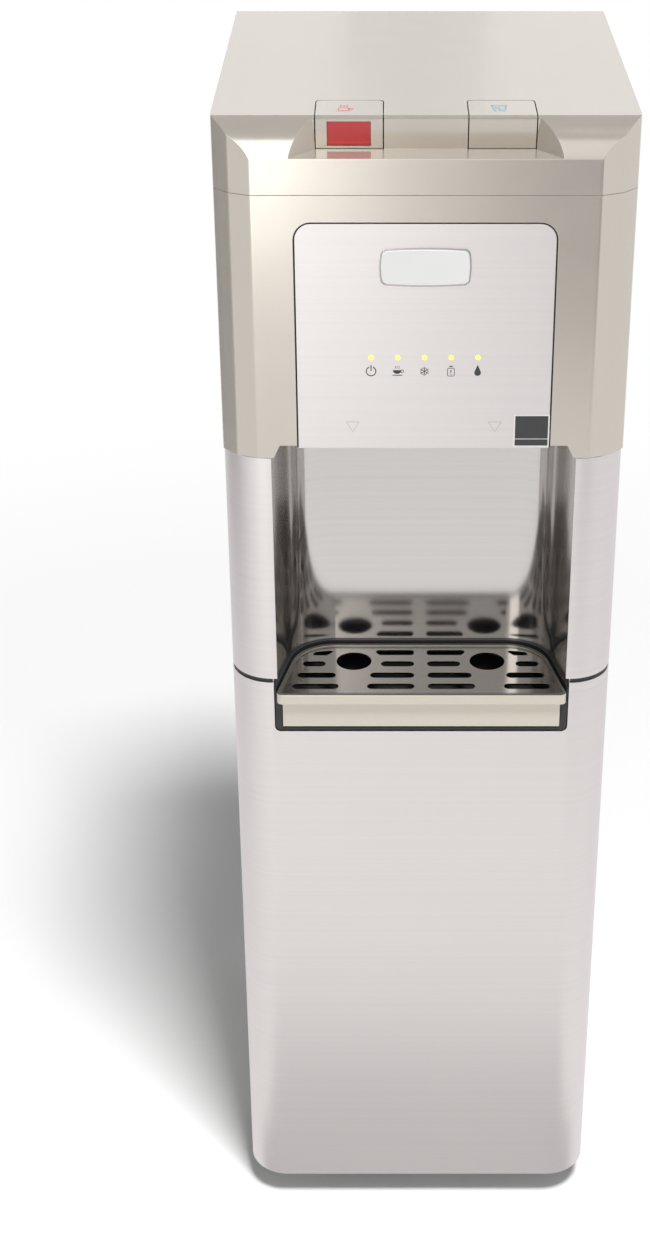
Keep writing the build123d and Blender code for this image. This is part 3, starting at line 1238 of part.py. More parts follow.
def drain_cap():
    """The ribbed cap on the drain, with the plug that closes its bore."""
    base = BACK_FACE + 2.5 + SEAT
    cap = bar_y(HOT_X, base, base + 13.5, DRAIN_Z, 9.5)
    cap = fillet(cap.edges().group_by(Axis.Y)[-1], 1.5)
    cap = cap - bar_y(HOT_X, base - 1, BACK_FACE + 12 + SEAT, DRAIN_Z, 5.0 + RUN)
    ribs = PolarLocations(9.5, 12)
    standing = Plane(origin=(HOT_X, at(base), DRAIN_Z), x_dir=(1, 0, 0), z_dir=(0, 1, 0))
    notches = extrude(standing * (Sketch() + ribs * Rectangle(1.0, 2.0)), amount=10)
    return cap - notches


def cord_gland():
    """The strain relief in the back panel: a flanged bush with a tapered nose and a through bore."""
    neck = bar_y(GLAND_X, BACK_FACE - 6, BACK_FACE + 1, GLAND_Z, GLAND_NECK)
    flange = bar_y(GLAND_X, BACK_FACE, BACK_FACE + 3, GLAND_Z, GLAND_NECK + 3)
    nose = Pos(GLAND_X, at(BACK_FACE + 8), GLAND_Z) * Rot(-90, 0, 0) * Cone(GLAND_NECK - 0.5, 5.5, 10)
    nut = bar_y(GLAND_X, BACK_FACE - SHEET - 4, BACK_FACE - SHEET, GLAND_Z, GLAND_NECK + 3)
    return neck + flange + nose + nut - bar_y(GLAND_X, BACK_FACE - 10, BACK_FACE + 20, GLAND_Z, GLAND_BORE)


def door_magnet():
    """The magnetic catch on the left jamb."""
    magnet = block(-HALF + 3, -HALF + 13, DOOR_DEPTH + 0.3, FRONT_DEPTH, CATCH_Z - 25, CATCH_Z + 25)
    return fillet(magnet.edges().filter_by(Axis.Y), 2)


def strike_plate():
    """The steel plate on the door that the catch holds."""
    return block(-HALF + 4, -HALF + 12, DOOR_DEPTH - 0.5, DOOR_DEPTH, CATCH_Z - 22, CATCH_Z + 22)


PIECES = {
    "top_cover": top_cover,
    "hot_button": hot_button,
    "cold_button": lambda: button(1),
    "hot_lock_slider": lock_slider,
    "button_pins": button_pins,
    "switch_carrier": switch_carrier,
    "hot_return_spring": lambda: return_spring(-1),
    "cold_return_spring": lambda: return_spring(1),
    "microswitches": microswitches,
    "front_housing": front_housing,
    "control_panel": control_panel,
    "badge_plate": badge_plate,
    "indicator_lenses": indicator_lenses,
    "control_board": control_board,
    "left_pillar": lambda: pillar(-1),
    "right_pillar": lambda: pillar(1),
    "alcove_liner": alcove_liner,
    "alcove_ceiling": alcove_ceiling,
    "spouts": lambda: both(spout),
    "dispense_valves": lambda: both(dispense_valve),
    "tray_well": tray_well,
    "drip_tray": drip_tray,
    "drip_grille": drip_grille,
    "door_skin": door_skin,
    "door_core": door_core,
    "door_ears": door_ears,
    "door_bushes": door_bushes,
    "door_hinges": door_hinges,
    "door_magnet": door_magnet,
    "strike_plate": strike_plate,
    "left_side_panel": lambda: side_panel(-1),
    "right_side_panel": lambda: side_panel(1),
    "back_panel": back_panel,
    "base_pan": base_pan,
    "feet": feet,
    "bottle_platform": bottle_platform,
    "deck": deck,
    "tank_shelf": tank_shelf,
    "bottle_probe": bottle_probe,
    "probe_hanger": probe_hanger,
    "probe_hose": probe_hose,
    "hose_fitting": hose_fitting,
    "pump": pump,
    "water_hoses": water_hoses,
    "cold_tank": cold_tank,
    "cold_foam": cold_foam,
    "hot_tank": hot_tank,
    "hot_felt": hot_felt,
    "compressor": compressor,
    "compressor_mounts": compressor_mounts,
    "relay_cover": relay_cover,
    "condenser": condenser,
    "condenser_brackets": condenser_brackets,
    "drier_and_lines": drier_and_lines,
    "switch_bodies": switch_bodies,
    "heater_rocker": lambda: rocker(SWITCH_X[0]),
    "cooling_rocker": lambda: rocker(SWITCH_X[1]),
    "drain_spigot": drain_spigot,
    "drain_cap": drain_cap,
    "cord_gland": cord_gland,
}

os.makedirs("parts", exist_ok=True)
for node, make in PIECES.items():
    export_step(make(), f"parts/{node}.step")
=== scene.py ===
"""Looks of the bottom load water cooler: its finishes, printed signs, trims, screws and studio.

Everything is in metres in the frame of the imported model: X to the viewer's right, Z up, front at -Y."""
import json
import math

import bmesh
import bpy
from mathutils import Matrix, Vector

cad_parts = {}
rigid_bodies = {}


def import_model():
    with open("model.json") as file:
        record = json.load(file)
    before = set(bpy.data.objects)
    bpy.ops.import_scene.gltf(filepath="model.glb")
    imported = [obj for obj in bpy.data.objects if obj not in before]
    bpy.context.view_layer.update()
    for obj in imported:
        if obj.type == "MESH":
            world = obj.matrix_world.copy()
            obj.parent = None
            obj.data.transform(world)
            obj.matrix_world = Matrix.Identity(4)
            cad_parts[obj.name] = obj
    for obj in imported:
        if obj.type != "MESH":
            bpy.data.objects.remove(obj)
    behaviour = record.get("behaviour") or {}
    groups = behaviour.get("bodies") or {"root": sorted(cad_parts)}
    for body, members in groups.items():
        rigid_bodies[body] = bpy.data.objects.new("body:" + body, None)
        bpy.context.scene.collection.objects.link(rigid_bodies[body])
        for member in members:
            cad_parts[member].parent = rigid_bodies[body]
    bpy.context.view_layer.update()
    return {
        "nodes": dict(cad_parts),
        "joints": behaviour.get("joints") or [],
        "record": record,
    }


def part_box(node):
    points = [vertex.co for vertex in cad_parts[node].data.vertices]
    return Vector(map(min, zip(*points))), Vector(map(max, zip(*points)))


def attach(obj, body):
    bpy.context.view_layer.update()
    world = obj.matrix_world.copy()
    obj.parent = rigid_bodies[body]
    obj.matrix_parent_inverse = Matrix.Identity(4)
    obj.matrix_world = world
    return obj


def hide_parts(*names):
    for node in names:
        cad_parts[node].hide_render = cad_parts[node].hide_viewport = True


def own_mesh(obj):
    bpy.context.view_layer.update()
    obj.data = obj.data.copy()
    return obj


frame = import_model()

NODES = frame["nodes"]
SLOTS = {part["node"]: part["material_slot"] for part in frame["record"]["subparts"]}
MM = 0.001

# ---- places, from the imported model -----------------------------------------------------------
PANEL_LOW, PANEL_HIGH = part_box("control_panel")
BADGE_LOW, BADGE_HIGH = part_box("badge_plate")
LENS_LOW, LENS_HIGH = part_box("indicator_lenses")
HOT_LOW, HOT_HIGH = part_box("hot_button")
COLD_LOW, COLD_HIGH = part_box("cold_button")
COVER_LOW, COVER_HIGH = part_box("top_cover")
SIDE_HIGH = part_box("left_side_panel")[1]
BRACKET_LOW, BRACKET_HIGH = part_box("condenser_brackets")
TRAY_LOW, TRAY_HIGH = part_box("drip_tray")
HEATER_LOW, HEATER_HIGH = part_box("heater_rocker")
COOLING_LOW, COOLING_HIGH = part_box("cooling_rocker")
PANEL_FACE = PANEL_LOW.y
LAMP_ROW = (LENS_LOW.z + LENS_HIGH.z) / 2
BACK_FACE = SIDE_HIGH.y - 1.0 * MM
BRACKET_UPPER = BRACKET_HIGH.z - 22.0 * MM
TRAY_FACE_BACK = TRAY_LOW.y + 5.4 * MM
TRAY_RIM_FOOT = TRAY_HIGH.z - 2.6 * MM
TRAY_RIM_TOP = TRAY_HIGH.z - 0.7 * MM
BADGE_RIM = 1.1 * MM

# ---- places of the printed signs -------------------------------------------------------------
LAMP_PITCH = 20.0 * MM
SIGN_DROP = 11.0 * MM
POINTER_X = 54.0 * MM
POINTER_DROP = 55.0 * MM
LABEL_X = 82.0 * MM
LABEL_RISE = 14.3 * MM
LABEL_WIDTH, LABEL_HEIGHT = 27.3, 26.6  # in millimetres, as every sign is drawn
LABEL_FIELD = 25.1
KEY_SIGN_SET_BACK = 20.0 * MM
HOT_SIGN_ASIDE = 4.0 * MM
COLD_SIGN_ASIDE = 2.0 * MM
ROCKER_TIP = math.radians(14.4)
ON_SIGN_PROUD = 2.12 * MM
ON_SIGN_RISE = 4.8 * MM
OFF_SIGN_PROUD = 3.25 * MM
OFF_SIGN_DROP = 4.3 * MM

# ---- sizes of the trims and the screws -------------------------------------------------------
PANEL_SEAM = 1.2 * MM
SEAM_PLAY = 0.05 * MM
SEAM_CORNER = 13.1 * MM
SEAM_SHADE_DEPTH = 2.4 * MM
SEAM_SHADE_SET_BACK = 0.5 * MM
SCREW_HEAD_R = 3.1 * MM
SCREW_HEAD_HIGH = 1.9 * MM
SCREW_DOME = ((0.5 * MM, 0.25 * MM), (1.0 * MM, 0.15 * MM))
CROSS_LONG, CROSS_WIDE, CROSS_DEEP = 3.0 * MM, 0.75 * MM, 2.0 * MM
LIP_SCREW_X = 148.0 * MM
LIP_SCREW_HEIGHTS = (45.0 * MM, 262.0 * MM, 480.0 * MM, 698.0 * MM, 916.0 * MM)
COVER_SCREW_X = (-120.0 * MM, 0.0, 120.0 * MM)
COVER_SCREW_RISE = 12.0 * MM
BRACKET_FOOT_X = 62.0 * MM
BRACKET_FOOT_RISE = 5.0 * MM
BRACKET_SHEET = 1.2 * MM
MERGE = 0.01 * MM


# ---- node building ---------------------------------------------------------------------------
class Finish:
    """A material under construction: a Principled shader and the nodes that feed it."""

    def __init__(self, name, base, metallic=0.0, roughness=0.4, **sockets):
        self.mat = bpy.data.materials.new(name)
        self.mat.use_nodes = True
        self.tree = self.mat.node_tree
        self.shader = self.tree.nodes["Principled BSDF"]
        self.shader.inputs["Base Color"].default_value = (*base, 1.0)
        self.shader.inputs["Metallic"].default_value = metallic
        self.shader.inputs["Roughness"].default_value = roughness
        for socket, value in sockets.items():
            self.shader.inputs[socket.replace("_", " ")].default_value = value
        self.place = self.node("ShaderNodeTexCoord").outputs["Object"]

    def node(self, kind, **values):
        made = self.tree.nodes.new(kind)
        for key, value in values.items():
            setattr(made, key, value)
        return made

    def link(self, a, b):
        self.tree.links.new(a, b)

    def scaled(self, scale):
        """Object coordinates stretched by scale, as lines or grain need."""
        mapping = self.node("ShaderNodeMapping")
        mapping.inputs["Scale"].default_value = scale
        self.link(self.place, mapping.inputs["Vector"])
        return mapping.outputs["Vector"]

    def noise(self, scale, detail=3.0, roughness=0.5, place=None):
        made = self.node("ShaderNodeTexNoise")
        made.inputs["Scale"].default_value = scale
        made.inputs["Detail"].default_value = detail
        made.inputs["Roughness"].default_value = roughness
        self.link(place or self.place, made.inputs["Vector"])
        return made.outputs["Fac"]

    def cells(self, scale, feature="F1", output="Distance"):
        made = self.node("ShaderNodeTexVoronoi", feature=feature)
        made.inputs["Scale"].default_value = scale
        self.link(self.place, made.inputs["Vector"])
        return made.outputs[output]

    def spread(self, value, low, high, start=0.0, end=1.0, way="LINEAR"):
        """value, brought from start..end to low..high."""
        made = self.node("ShaderNodeMapRange", interpolation_type=way)
        for socket, number in zip(("From Min", "From Max", "To Min", "To Max"), (start, end, low, high)):
            made.inputs[socket].default_value = number
        self.link(value, made.inputs["Value"])
        return made.outputs["Result"]

    def eased(self, value, low, high, start, end):
        """value, brought smoothly from start..end to low..high."""
        return self.spread(value, low, high, start, end, way="SMOOTHSTEP")

    def tint(self, value, dark, light):
        """Two colours mixed by value, sent to the base colour."""
        mix = self.node("ShaderNodeMix", data_type="RGBA")
        mix.inputs["A"].default_value = (*dark, 1.0)
        mix.inputs["B"].default_value = (*light, 1.0)
        self.link(value, mix.inputs["Factor"])
        self.link(mix.outputs["Result"], self.shader.inputs["Base Color"])
        return mix.outputs["Result"]

    def rough(self, value, low, high):
        self.link(self.spread(value, low, high), self.shader.inputs["Roughness"])

    def blend(self, a, b, share):
        """a and b mixed, with b's share."""
        made = self.node("ShaderNodeMix", data_type="FLOAT")
        made.inputs["Factor"].default_value = share
        self.link(a, made.inputs["A"])
        self.link(b, made.inputs["B"])
        return made.outputs["Result"]

    def compare(self, value, limit, operation):
        """1 where value is under or over the limit, else 0."""
        made = self.node("ShaderNodeMath", operation=operation)
        self.link(value, made.inputs[0])
        made.inputs[1].default_value = limit
        return made.outputs["Value"]

    def bumps(self, *layers, edge=0.0):
        """Surface relief from (height, distance in metres, strength) layers, over edges eased by edge."""
        normal = None
        if edge:
            eased = self.node("ShaderNodeBevel", samples=6)
            eased.inputs["Radius"].default_value = edge
            normal = eased.outputs["Normal"]
        for height, distance, strength in layers:
            bump = self.node("ShaderNodeBump")
            bump.inputs["Distance"].default_value = distance
            bump.inputs["Strength"].default_value = strength
            self.link(height, bump.inputs["Height"])
            if normal is not None:
                self.link(normal, bump.inputs["Normal"])
            normal = bump.outputs["Normal"]
        self.link(normal, self.shader.inputs["Normal"])


def shade(colour, factor):
    return tuple(min(1.0, c * factor) for c in colour)


# ---- finishes --------------------------------------------------------------------------------
def moulded_metallic(name, base, roughness):
    """Glossy metallic-flake plastic: a clear coat, faint upright bands of lighter and darker tone, and soft
    edges.
    """
    f = Finish(name, base, metallic=0.65, roughness=roughness, Coat_Weight=0.35, Coat_Roughness=0.08)
    flakes = f.cells(2600.0, output="Color")
    bands = f.noise(1.0, 2.0, 0.5, f.scaled((16.0, 1.5, 1.5)))
    f.tint(f.blend(bands, flakes, 0.3), shade(base, 0.93), shade(base, 1.07))
    f.rough(f.noise(30.0), roughness - 0.03, roughness + 0.05)
    f.bumps((f.noise(60.0, 2.0), 0.0004, 0.04), (flakes, 0.00002, 0.10), edge=0.5 * MM)
    return f.mat


def two_tone(name, base, hidden, painted_reflection, roughness):
    """The drip tray's tones: metallic on the face, black in the basin, and a dark painted reflection along
    the top of the rim.
    """
    f = Finish(name, base, Coat_Weight=0.35, Coat_Roughness=0.08)
    split = f.node("ShaderNodeSeparateXYZ")
    f.link(f.place, split.inputs["Vector"])
    face = f.compare(split.outputs["Y"], TRAY_FACE_BACK, "LESS_THAN")
    rim = f.compare(split.outputs["Z"], TRAY_RIM_FOOT, "GREATER_THAN")
    shown = f.node("ShaderNodeMath", operation="MAXIMUM")
    f.link(face, shown.inputs[0])
    f.link(rim, shown.inputs[1])
    fleck = f.spread(f.cells(2600.0, output="Color"), 0.93, 1.05)
    tinted = f.node("ShaderNodeMath", operation="MULTIPLY")
    f.link(shown.outputs[0], tinted.inputs[0])
    f.link(fleck, tinted.inputs[1])
    body = f.tint(tinted.outputs[0], hidden, base)
    # painted reflection: the rim's top is made dark by height, standing in for the dark reflection that it
    # shows
    top = f.compare(split.outputs["Z"], TRAY_RIM_TOP, "GREATER_THAN")
    mix = f.node("ShaderNodeMix", data_type="RGBA")
    f.link(body, mix.inputs["A"])
    mix.inputs["B"].default_value = (*painted_reflection, 1.0)
    f.link(top, mix.inputs["Factor"])
    f.link(mix.outputs["Result"], f.shader.inputs["Base Color"])
    f.link(f.spread(shown.outputs[0], 0.0, 0.5), f.shader.inputs["Metallic"])
    f.rough(f.noise(30.0), roughness - 0.03, roughness + 0.05)
    f.bumps((f.noise(60.0, 2.0), 0.0004, 0.04), edge=0.4 * MM)
    return f.mat


def brushed(name, base, roughness, lines, strength):
    """Brushed sheet steel: fine lines, broken now and then, and a soft overall mottle."""
    f = Finish(name, base, metallic=1.0, roughness=roughness)
    fine = f.noise(1.0, 4.0, 0.7, f.scaled(lines))
    long = f.noise(1.0, 2.0, 0.5, f.scaled(tuple(s * 0.18 for s in lines)))
    mottle = f.noise(9.0, 3.0)
    f.tint(f.spread(f.blend(fine, long, 0.5), 0.0, 1.0, 0.25, 0.75), shade(base, 0.955), shade(base, 1.035))
    f.rough(mottle, roughness - 0.04, roughness + 0.06)
    f.bumps((fine, 0.00005, strength), (mottle, 0.002, 0.015), edge=0.4 * MM)
    return f.mat


def polished(name, base, roughness):
    """Polished steel with faint wiping marks."""
    f = Finish(name, base, metallic=1.0, roughness=roughness)
    wipes = f.noise(1.0, 4.0, 0.6, f.scaled((40.0, 500.0, 500.0)))
    f.tint(wipes, shade(base, 0.94), shade(base, 1.05))
    f.rough(f.noise(45.0), roughness - 0.03, roughness + 0.08)
    f.bumps((wipes, 0.00002, 0.15), edge=0.3 * MM)
    return f.mat


def plastic(name, base, roughness, **sockets):
    """Moulded plastic with a fine spark texture."""
    f = Finish(name, base, roughness=roughness, **sockets)
    spark = f.noise(900.0, 2.0)
    f.tint(f.noise(14.0), shade(base, 0.93), shade(base, 1.06))
    f.rough(f.noise(40.0), roughness - 0.05, roughness + 0.06)
    f.bumps((spark, 0.00008, 0.35), edge=0.3 * MM)
    return f.mat


def painted_sheet(name, base, roughness):
    """Powder-painted sheet metal with an orange-peel skin."""
    f = Finish(name, base, metallic=0.35, roughness=roughness)
    f.tint(f.noise(500.0, 2.0), shade(base, 0.95), shade(base, 1.05))
    f.rough(f.noise(20.0), roughness - 0.04, roughness + 0.06)
    f.bumps((f.noise(420.0, 2.0), 0.0002, 0.25), (f.noise(6.0), 0.003, 0.03))
    return f.mat


def zinc_sheet(name, base):
    """Galvanised sheet with its crystal spangle."""
    f = Finish(name, base, metallic=0.9, roughness=0.42)
    spangle = f.cells(85.0, output="Color")
    level = f.node("ShaderNodeSeparateColor")
    f.link(spangle, level.inputs["Color"])
    f.tint(level.outputs["Red"], shade(base, 0.82), shade(base, 1.1))
    f.rough(level.outputs["Green"], 0.34, 0.52)
    f.bumps((f.noise(240.0), 0.0001, 0.2))
    return f.mat


def rubber(name, base):
    f = Finish(name, base, roughness=0.82)
    f.tint(f.noise(60.0), shade(base, 0.8), shade(base, 1.3))
    f.rough(f.noise(35.0), 0.74, 0.9)
    f.bumps((f.noise(1500.0, 2.0), 0.0001, 0.4))
    return f.mat


def felt(name, base):
    f = Finish(name, base, roughness=0.95, Sheen_Weight=0.4)
    fibre = f.noise(1.0, 5.0, 0.7, f.scaled((900.0, 900.0, 260.0)))
    f.tint(fibre, shade(base, 0.7), shade(base, 1.25))
    f.bumps((fibre, 0.0006, 0.6))
    return f.mat


def bead_foam(name, base):
    """Expanded bead foam: pressed round cells with dark seams between them."""
    f = Finish(name, base, roughness=0.75)
    seam = f.cells(260.0, feature="DISTANCE_TO_EDGE")
    f.tint(f.spread(seam, 0.0, 1.0, 0.0, 0.08), shade(base, 0.8), base)
    f.bumps((f.spread(seam, 0.0, 1.0, 0.0, 0.12), 0.0006, 0.5))
    return f.mat


def drawn_copper(name, base):
    f = Finish(name, base, metallic=1.0, roughness=0.3)
    stain = f.noise(35.0, 4.0, 0.6)
    f.tint(stain, shade(base, 0.6), shade(base, 1.1))
    f.rough(stain, 0.42, 0.24)
    f.bumps((f.noise(1.0, 3.0, 0.5, f.scaled((600.0, 600.0, 40.0))), 0.00004, 0.2))
    return f.mat


def soft_hose(name, base):
    f = Finish(name, base, roughness=0.28, Transmission_Weight=0.45, IOR=1.41)
    f.tint(f.noise(30.0), shade(base, 0.9), shade(base, 1.05))
    f.rough(f.noise(60.0), 0.22, 0.36)
    f.bumps((f.noise(240.0), 0.0001, 0.15))
    return f.mat


def lit_lens(name, base, glow):
    """A small lens lit from behind, with a faint moulded grain."""
    f = Finish(name, base, roughness=0.2, Emission_Strength=glow, Coat_Weight=0.5)
    f.shader.inputs["Emission Color"].default_value = (*base, 1.0)
    f.tint(f.noise(700.0), shade(base, 0.92), shade(base, 1.05))
    f.bumps((f.noise(900.0), 0.00005, 0.2))
    return f.mat


def ink(name, base):
    """Screen-printed ink with slightly uneven cover."""
    f = Finish(name, base, roughness=0.5)
    cover = f.noise(2500.0, 2.0)
    f.tint(cover, shade(base, 0.85), shade(base, 1.12))
    f.rough(cover, 0.44, 0.56)
    return f.mat


def circuit_board(name, base):
    f = Finish(name, base, roughness=0.35, Coat_Weight=0.4)
    tracks = f.cells(380.0, feature="DISTANCE_TO_EDGE")
    f.tint(f.spread(tracks, 0.0, 1.0, 0.0, 0.06), shade(base, 2.0), base)
    f.bumps((tracks, 0.00005, 0.3))
    return f.mat


LEVEL_LINES = (3.0, 3.0, 1500.0)
CHAMPAGNE = (0.585, 0.54, 0.48)
STEEL = (0.69, 0.65, 0.645)
CREAM = (0.64, 0.595, 0.51)
BASIN_BLACK = (0.02, 0.02, 0.02)
# painted reflection: the dark tone along the drip tray rim's top
RIM_PAINTED_REFLECTION = (0.12, 0.115, 0.105)

FINISHES = {
    "champagne_gloss": moulded_metallic("champagne_gloss_plastic", CHAMPAGNE, 0.20),
    "brushed_stainless": brushed("brushed_stainless_sheet", STEEL, 0.40, LEVEL_LINES, 0.16),
    "liner_stainless": brushed("liner_stainless_sheet", (0.60, 0.58, 0.567), 0.12, LEVEL_LINES, 0.02),
    "polished_stainless": polished("polished_stainless", (0.33, 0.31, 0.288), 0.16),
    "cream_silver": two_tone("cream_silver_plastic", CREAM, BASIN_BLACK, RIM_PAINTED_REFLECTION, 0.22),
    "black_plastic": plastic("black_satin_plastic", (0.022, 0.022, 0.023), 0.38),
    "red_plastic": plastic("red_gloss_plastic", (0.62, 0.018, 0.026), 0.16, Coat_Weight=0.5),
    "white_enamel": plastic("white_enamel", (0.80, 0.80, 0.79), 0.16, Coat_Weight=0.5),
    "lamp_lens": lit_lens("lamp_lens_lit", (0.78, 0.80, 0.12), 0.9),
    "painted_side": painted_sheet("painted_side_panel", (0.40, 0.39, 0.37), 0.42),
    "galvanised": zinc_sheet("galvanised_sheet", (0.50, 0.51, 0.52)),
    "grey_plastic": plastic("grey_moulded_plastic", (0.42, 0.42, 0.41), 0.5),
    "white_plastic": plastic("white_moulded_plastic", (0.74, 0.74, 0.72), 0.42),
    "steel_pin": polished("bright_pin_steel", (0.58, 0.58, 0.58), 0.24),
    "spring_steel": polished("spring_wire_steel", (0.42, 0.43, 0.45), 0.3),
    "board_green": circuit_board("circuit_board", (0.015, 0.11, 0.045)),
    "rubber_black": rubber("black_rubber", (0.03, 0.03, 0.03)),
    "black_enamel": painted_sheet("black_enamel", (0.018, 0.018, 0.018), 0.34),
    "copper": drawn_copper("drawn_copper", (0.70, 0.33, 0.19)),
    "foam": bead_foam("bead_foam", (0.80, 0.80, 0.79)),
    "felt_grey": felt("grey_felt", (0.22, 0.22, 0.22)),
    "silicone": soft_hose("silicone_hose", (0.78, 0.80, 0.79)),
    "magnet_dark": plastic("magnet_strip", (0.05, 0.05, 0.055), 0.5),
}
# painted shade: a black strip set in the control panel's seam, standing in for the shade inside the gap
SEAM_SHADE_FINISH = rubber("seam_painted_shade", (0.012, 0.012, 0.013))
DARK_INK = ink("dark_print", (0.035, 0.035, 0.037))
PALE_INK = ink("pale_print", (0.46, 0.44, 0.43))
RED_INK = ink("red_print", (0.62, 0.12, 0.13))
BLUE_INK = ink("blue_print", (0.10, 0.36, 0.52))
WHITE_INK = ink("white_print", (0.78, 0.78, 0.77))
CHROME = polished("chrome_rim", (0.52, 0.51, 0.50), 0.10)
SCREW_ZINC = polished("zinc_screw", (0.50, 0.50, 0.49), 0.28)


def dress_cad():
    """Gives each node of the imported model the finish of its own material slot."""
    for name, node in NODES.items():
        for place in node.material_slots:
            place.material = FINISHES[SLOTS[name]]


# ---- modelling by hand -----------------------------------------------------------------------
UP = (0.0, 0.0, 0.0)
FRONT = (math.pi / 2, 0.0, 0.0)
REAR = (math.pi / 2, 0.0, math.pi)
PRINT_THICK = 0.06 * MM


def deselect_all():
    bpy.ops.object.select_all(action="DESELECT")


def begin(kind, name, **how):
    """A primitive in edit mode, with nothing else selected."""
    deselect_all()
    getattr(bpy.ops.mesh, f"primitive_{kind}_add")(enter_editmode=True, **how)
    piece = bpy.context.object
    piece.name = piece.data.name = name
    return piece


def begin_copy(node, name):
    """A node's own shape as a new piece in edit mode, its loose triangles joined."""
    deselect_all()
    piece = NODES[node].copy()
    piece.data = NODES[node].data.copy()
    piece.name = piece.data.name = name
    piece.parent = None
    bpy.context.scene.collection.objects.link(piece)
    piece.select_set(True)
    bpy.context.view_layer.objects.active = piece
    bpy.ops.object.mode_set(mode="EDIT")
    bpy.ops.mesh.select_all(action="SELECT")
    bpy.ops.mesh.remove_doubles(threshold=MERGE)
    return piece


def choose(kind, test):
    """In edit mode, selects only the vertices or faces whose own place passes the test."""
    bpy.ops.mesh.select_all(action="DESELECT")
    bpy.ops.mesh.select_mode(type=kind)
    mesh = bmesh.from_edit_mesh(bpy.context.object.data)
    if kind == "VERT":
        items = [(v, v.co) for v in mesh.verts]
    else:
        items = [(f, f.calc_center_median()) for f in mesh.faces]
    for item, place in items:
        item.select_set(bool(test(place)))
    mesh.select_flush_mode()
    bmesh.update_edit_mesh(bpy.context.object.data)


def raise_all(height):
    """In edit mode, gives a flat outline its thickness."""
    bpy.ops.mesh.select_all(action="SELECT")
    bpy.ops.mesh.extrude_region_move(TRANSFORM_OT_translate={"value": (0, 0, height)})
    bpy.ops.mesh.select_all(action="SELECT")
    bpy.ops.mesh.normals_make_consistent(inside=False)


def settle(piece, place=(0, 0, 0), facing=UP):
    """Leaves edit mode and puts the piece's place and turn into its mesh."""
    bpy.ops.object.mode_set(mode="OBJECT")
    piece.location = place
    piece.rotation_euler = facing
    bpy.ops.object.transform_apply(location=True, rotation=True, scale=True)


def dress(piece, finish, body="cabinet"):
    """The finish, and the body that it rides on."""
    piece.data.materials.clear()
    piece.data.materials.append(finish)
    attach(piece, body)


def smooth(angle=30.0):
    bpy.ops.object.shade_smooth_by_angle(angle=math.radians(angle))


def copy_at(piece, name, shift):
    """A copy with its own mesh, moved by shift."""
    twin = piece.copy()
    twin.data = piece.data.copy()
    twin.name = twin.data.name = name
    bpy.context.scene.collection.objects.link(twin)
    deselect_all()
    twin.select_set(True)
    bpy.context.view_layer.objects.active = twin
    twin.location = shift
    bpy.ops.object.transform_apply(location=True, rotation=False, scale=False)
    return twin


# ---- printed marks ---------------------------------------------------------------------------
def disc(x, y, radius, sides=40):
    bpy.ops.mesh.primitive_circle_add(vertices=sides, radius=radius, fill_type="NGON", location=(x, y, 0))


def ring(x, y, radius, stroke, sides=40):
    """A flat ring, its stroke inside the radius."""
    disc(x, y, radius, sides)
    bpy.ops.mesh.inset(thickness=stroke)
    bpy.ops.mesh.delete(type="FACE")


def plate(x, y, width, height, corner):
    """A flat plate with round corners."""
    bpy.ops.mesh.primitive_plane_add(size=1, location=(x, y, 0))
    bpy.ops.transform.resize(value=(width, height, 1), center_override=(x, y, 0))
    if corner:
        bpy.ops.mesh.bevel(offset=corner, segments=6, affect="VERTICES")


def stroke_line(x0, y0, x1, y1, width):
    """A straight printed stroke with rounded ends."""
    turn = math.atan2(y1 - y0, x1 - x0)
    length = math.hypot(x1 - x0, y1 - y0) + width
    plate(0, 0, length, width, 0.45 * width)
    bpy.ops.transform.rotate(value=-turn, orient_axis="Z", center_override=(0, 0, 0))
    bpy.ops.transform.translate(value=((x0 + x1) / 2, (y0 + y1) / 2, 0))


def frame_plate(x, y, width, height, corner, stroke):
    """The outline of a plate, as one stroke."""
    plate(x, y, width, height, corner)
    bpy.ops.mesh.inset(thickness=stroke)
    bpy.ops.mesh.delete(type="FACE")


def printed(name, draw, place, finish, facing=FRONT, body="cabinet"):
    """A mark drawn flat in millimetres about its own middle, then set on its surface."""
    piece = begin("circle", name, vertices=3, radius=0.001)
    bpy.ops.mesh.delete(type="VERT")
    draw()
    bpy.ops.mesh.select_all(action="SELECT")
    bpy.ops.transform.resize(value=(MM, MM, MM), center_override=(0, 0, 0))
    raise_all(PRINT_THICK)
    settle(piece, place, facing)
    dress(piece, finish, body)


def draw_power():
    ring(0, 0, 4.0, 0.8, 48)
    choose("FACE", lambda p: p.y > 0 and abs(p.x) < 1.3)
    bpy.ops.mesh.delete(type="FACE")
    stroke_line(0, 0.6, 0, 4.6, 0.8)


def draw_cup():
    disc(-0.4, 1.2, 3.3)
    bpy.ops.mesh.bisect(plane_co=(0, 0.9, 0), plane_no=(0, 1, 0), clear_outer=True)
    ring(3.3, 0.1, 1.3, 0.5, 24)
    stroke_line(-3.6, -3.2, 3.2, -3.2, 0.6)
    for x in (-1.8, -0.4, 1.0):
        stroke_line(x - 0.3, 2.2, x + 0.3, 4.2, 0.35)


def draw_snow():
    stroke_line(0, 0, 0, 3.4, 0.5)
    stroke_line(0, 1.7, -1.1, 2.8, 0.4)
    stroke_line(0, 1.7, 1.1, 2.8, 0.4)
    bpy.ops.mesh.select_all(action="SELECT")
    bpy.ops.mesh.spin(steps=5, dupli=True, angle=math.radians(300), center=(0, 0, 0), axis=(0, 0, 1))


def draw_bottle():
    frame_plate(0, -0.7, 5.6, 6.8, 1.2, 0.5)
    stroke_line(-0.9, 3.9, 0.9, 3.9, 0.9)
    stroke_line(0, -1.0, 0, 0.9, 0.7)
    stroke_line(0, -2.6, 0, -2.5, 0.7)


def draw_drop():
    disc(0, -1.2, 2.5, 48)
    choose("VERT", lambda p: p.y > 1.25)
    bpy.ops.transform.translate(
        value=(0, 3.4, 0),
        use_proportional_edit=True,
        proportional_edit_falloff="SHARP",
        proportional_size=2.6,
    )


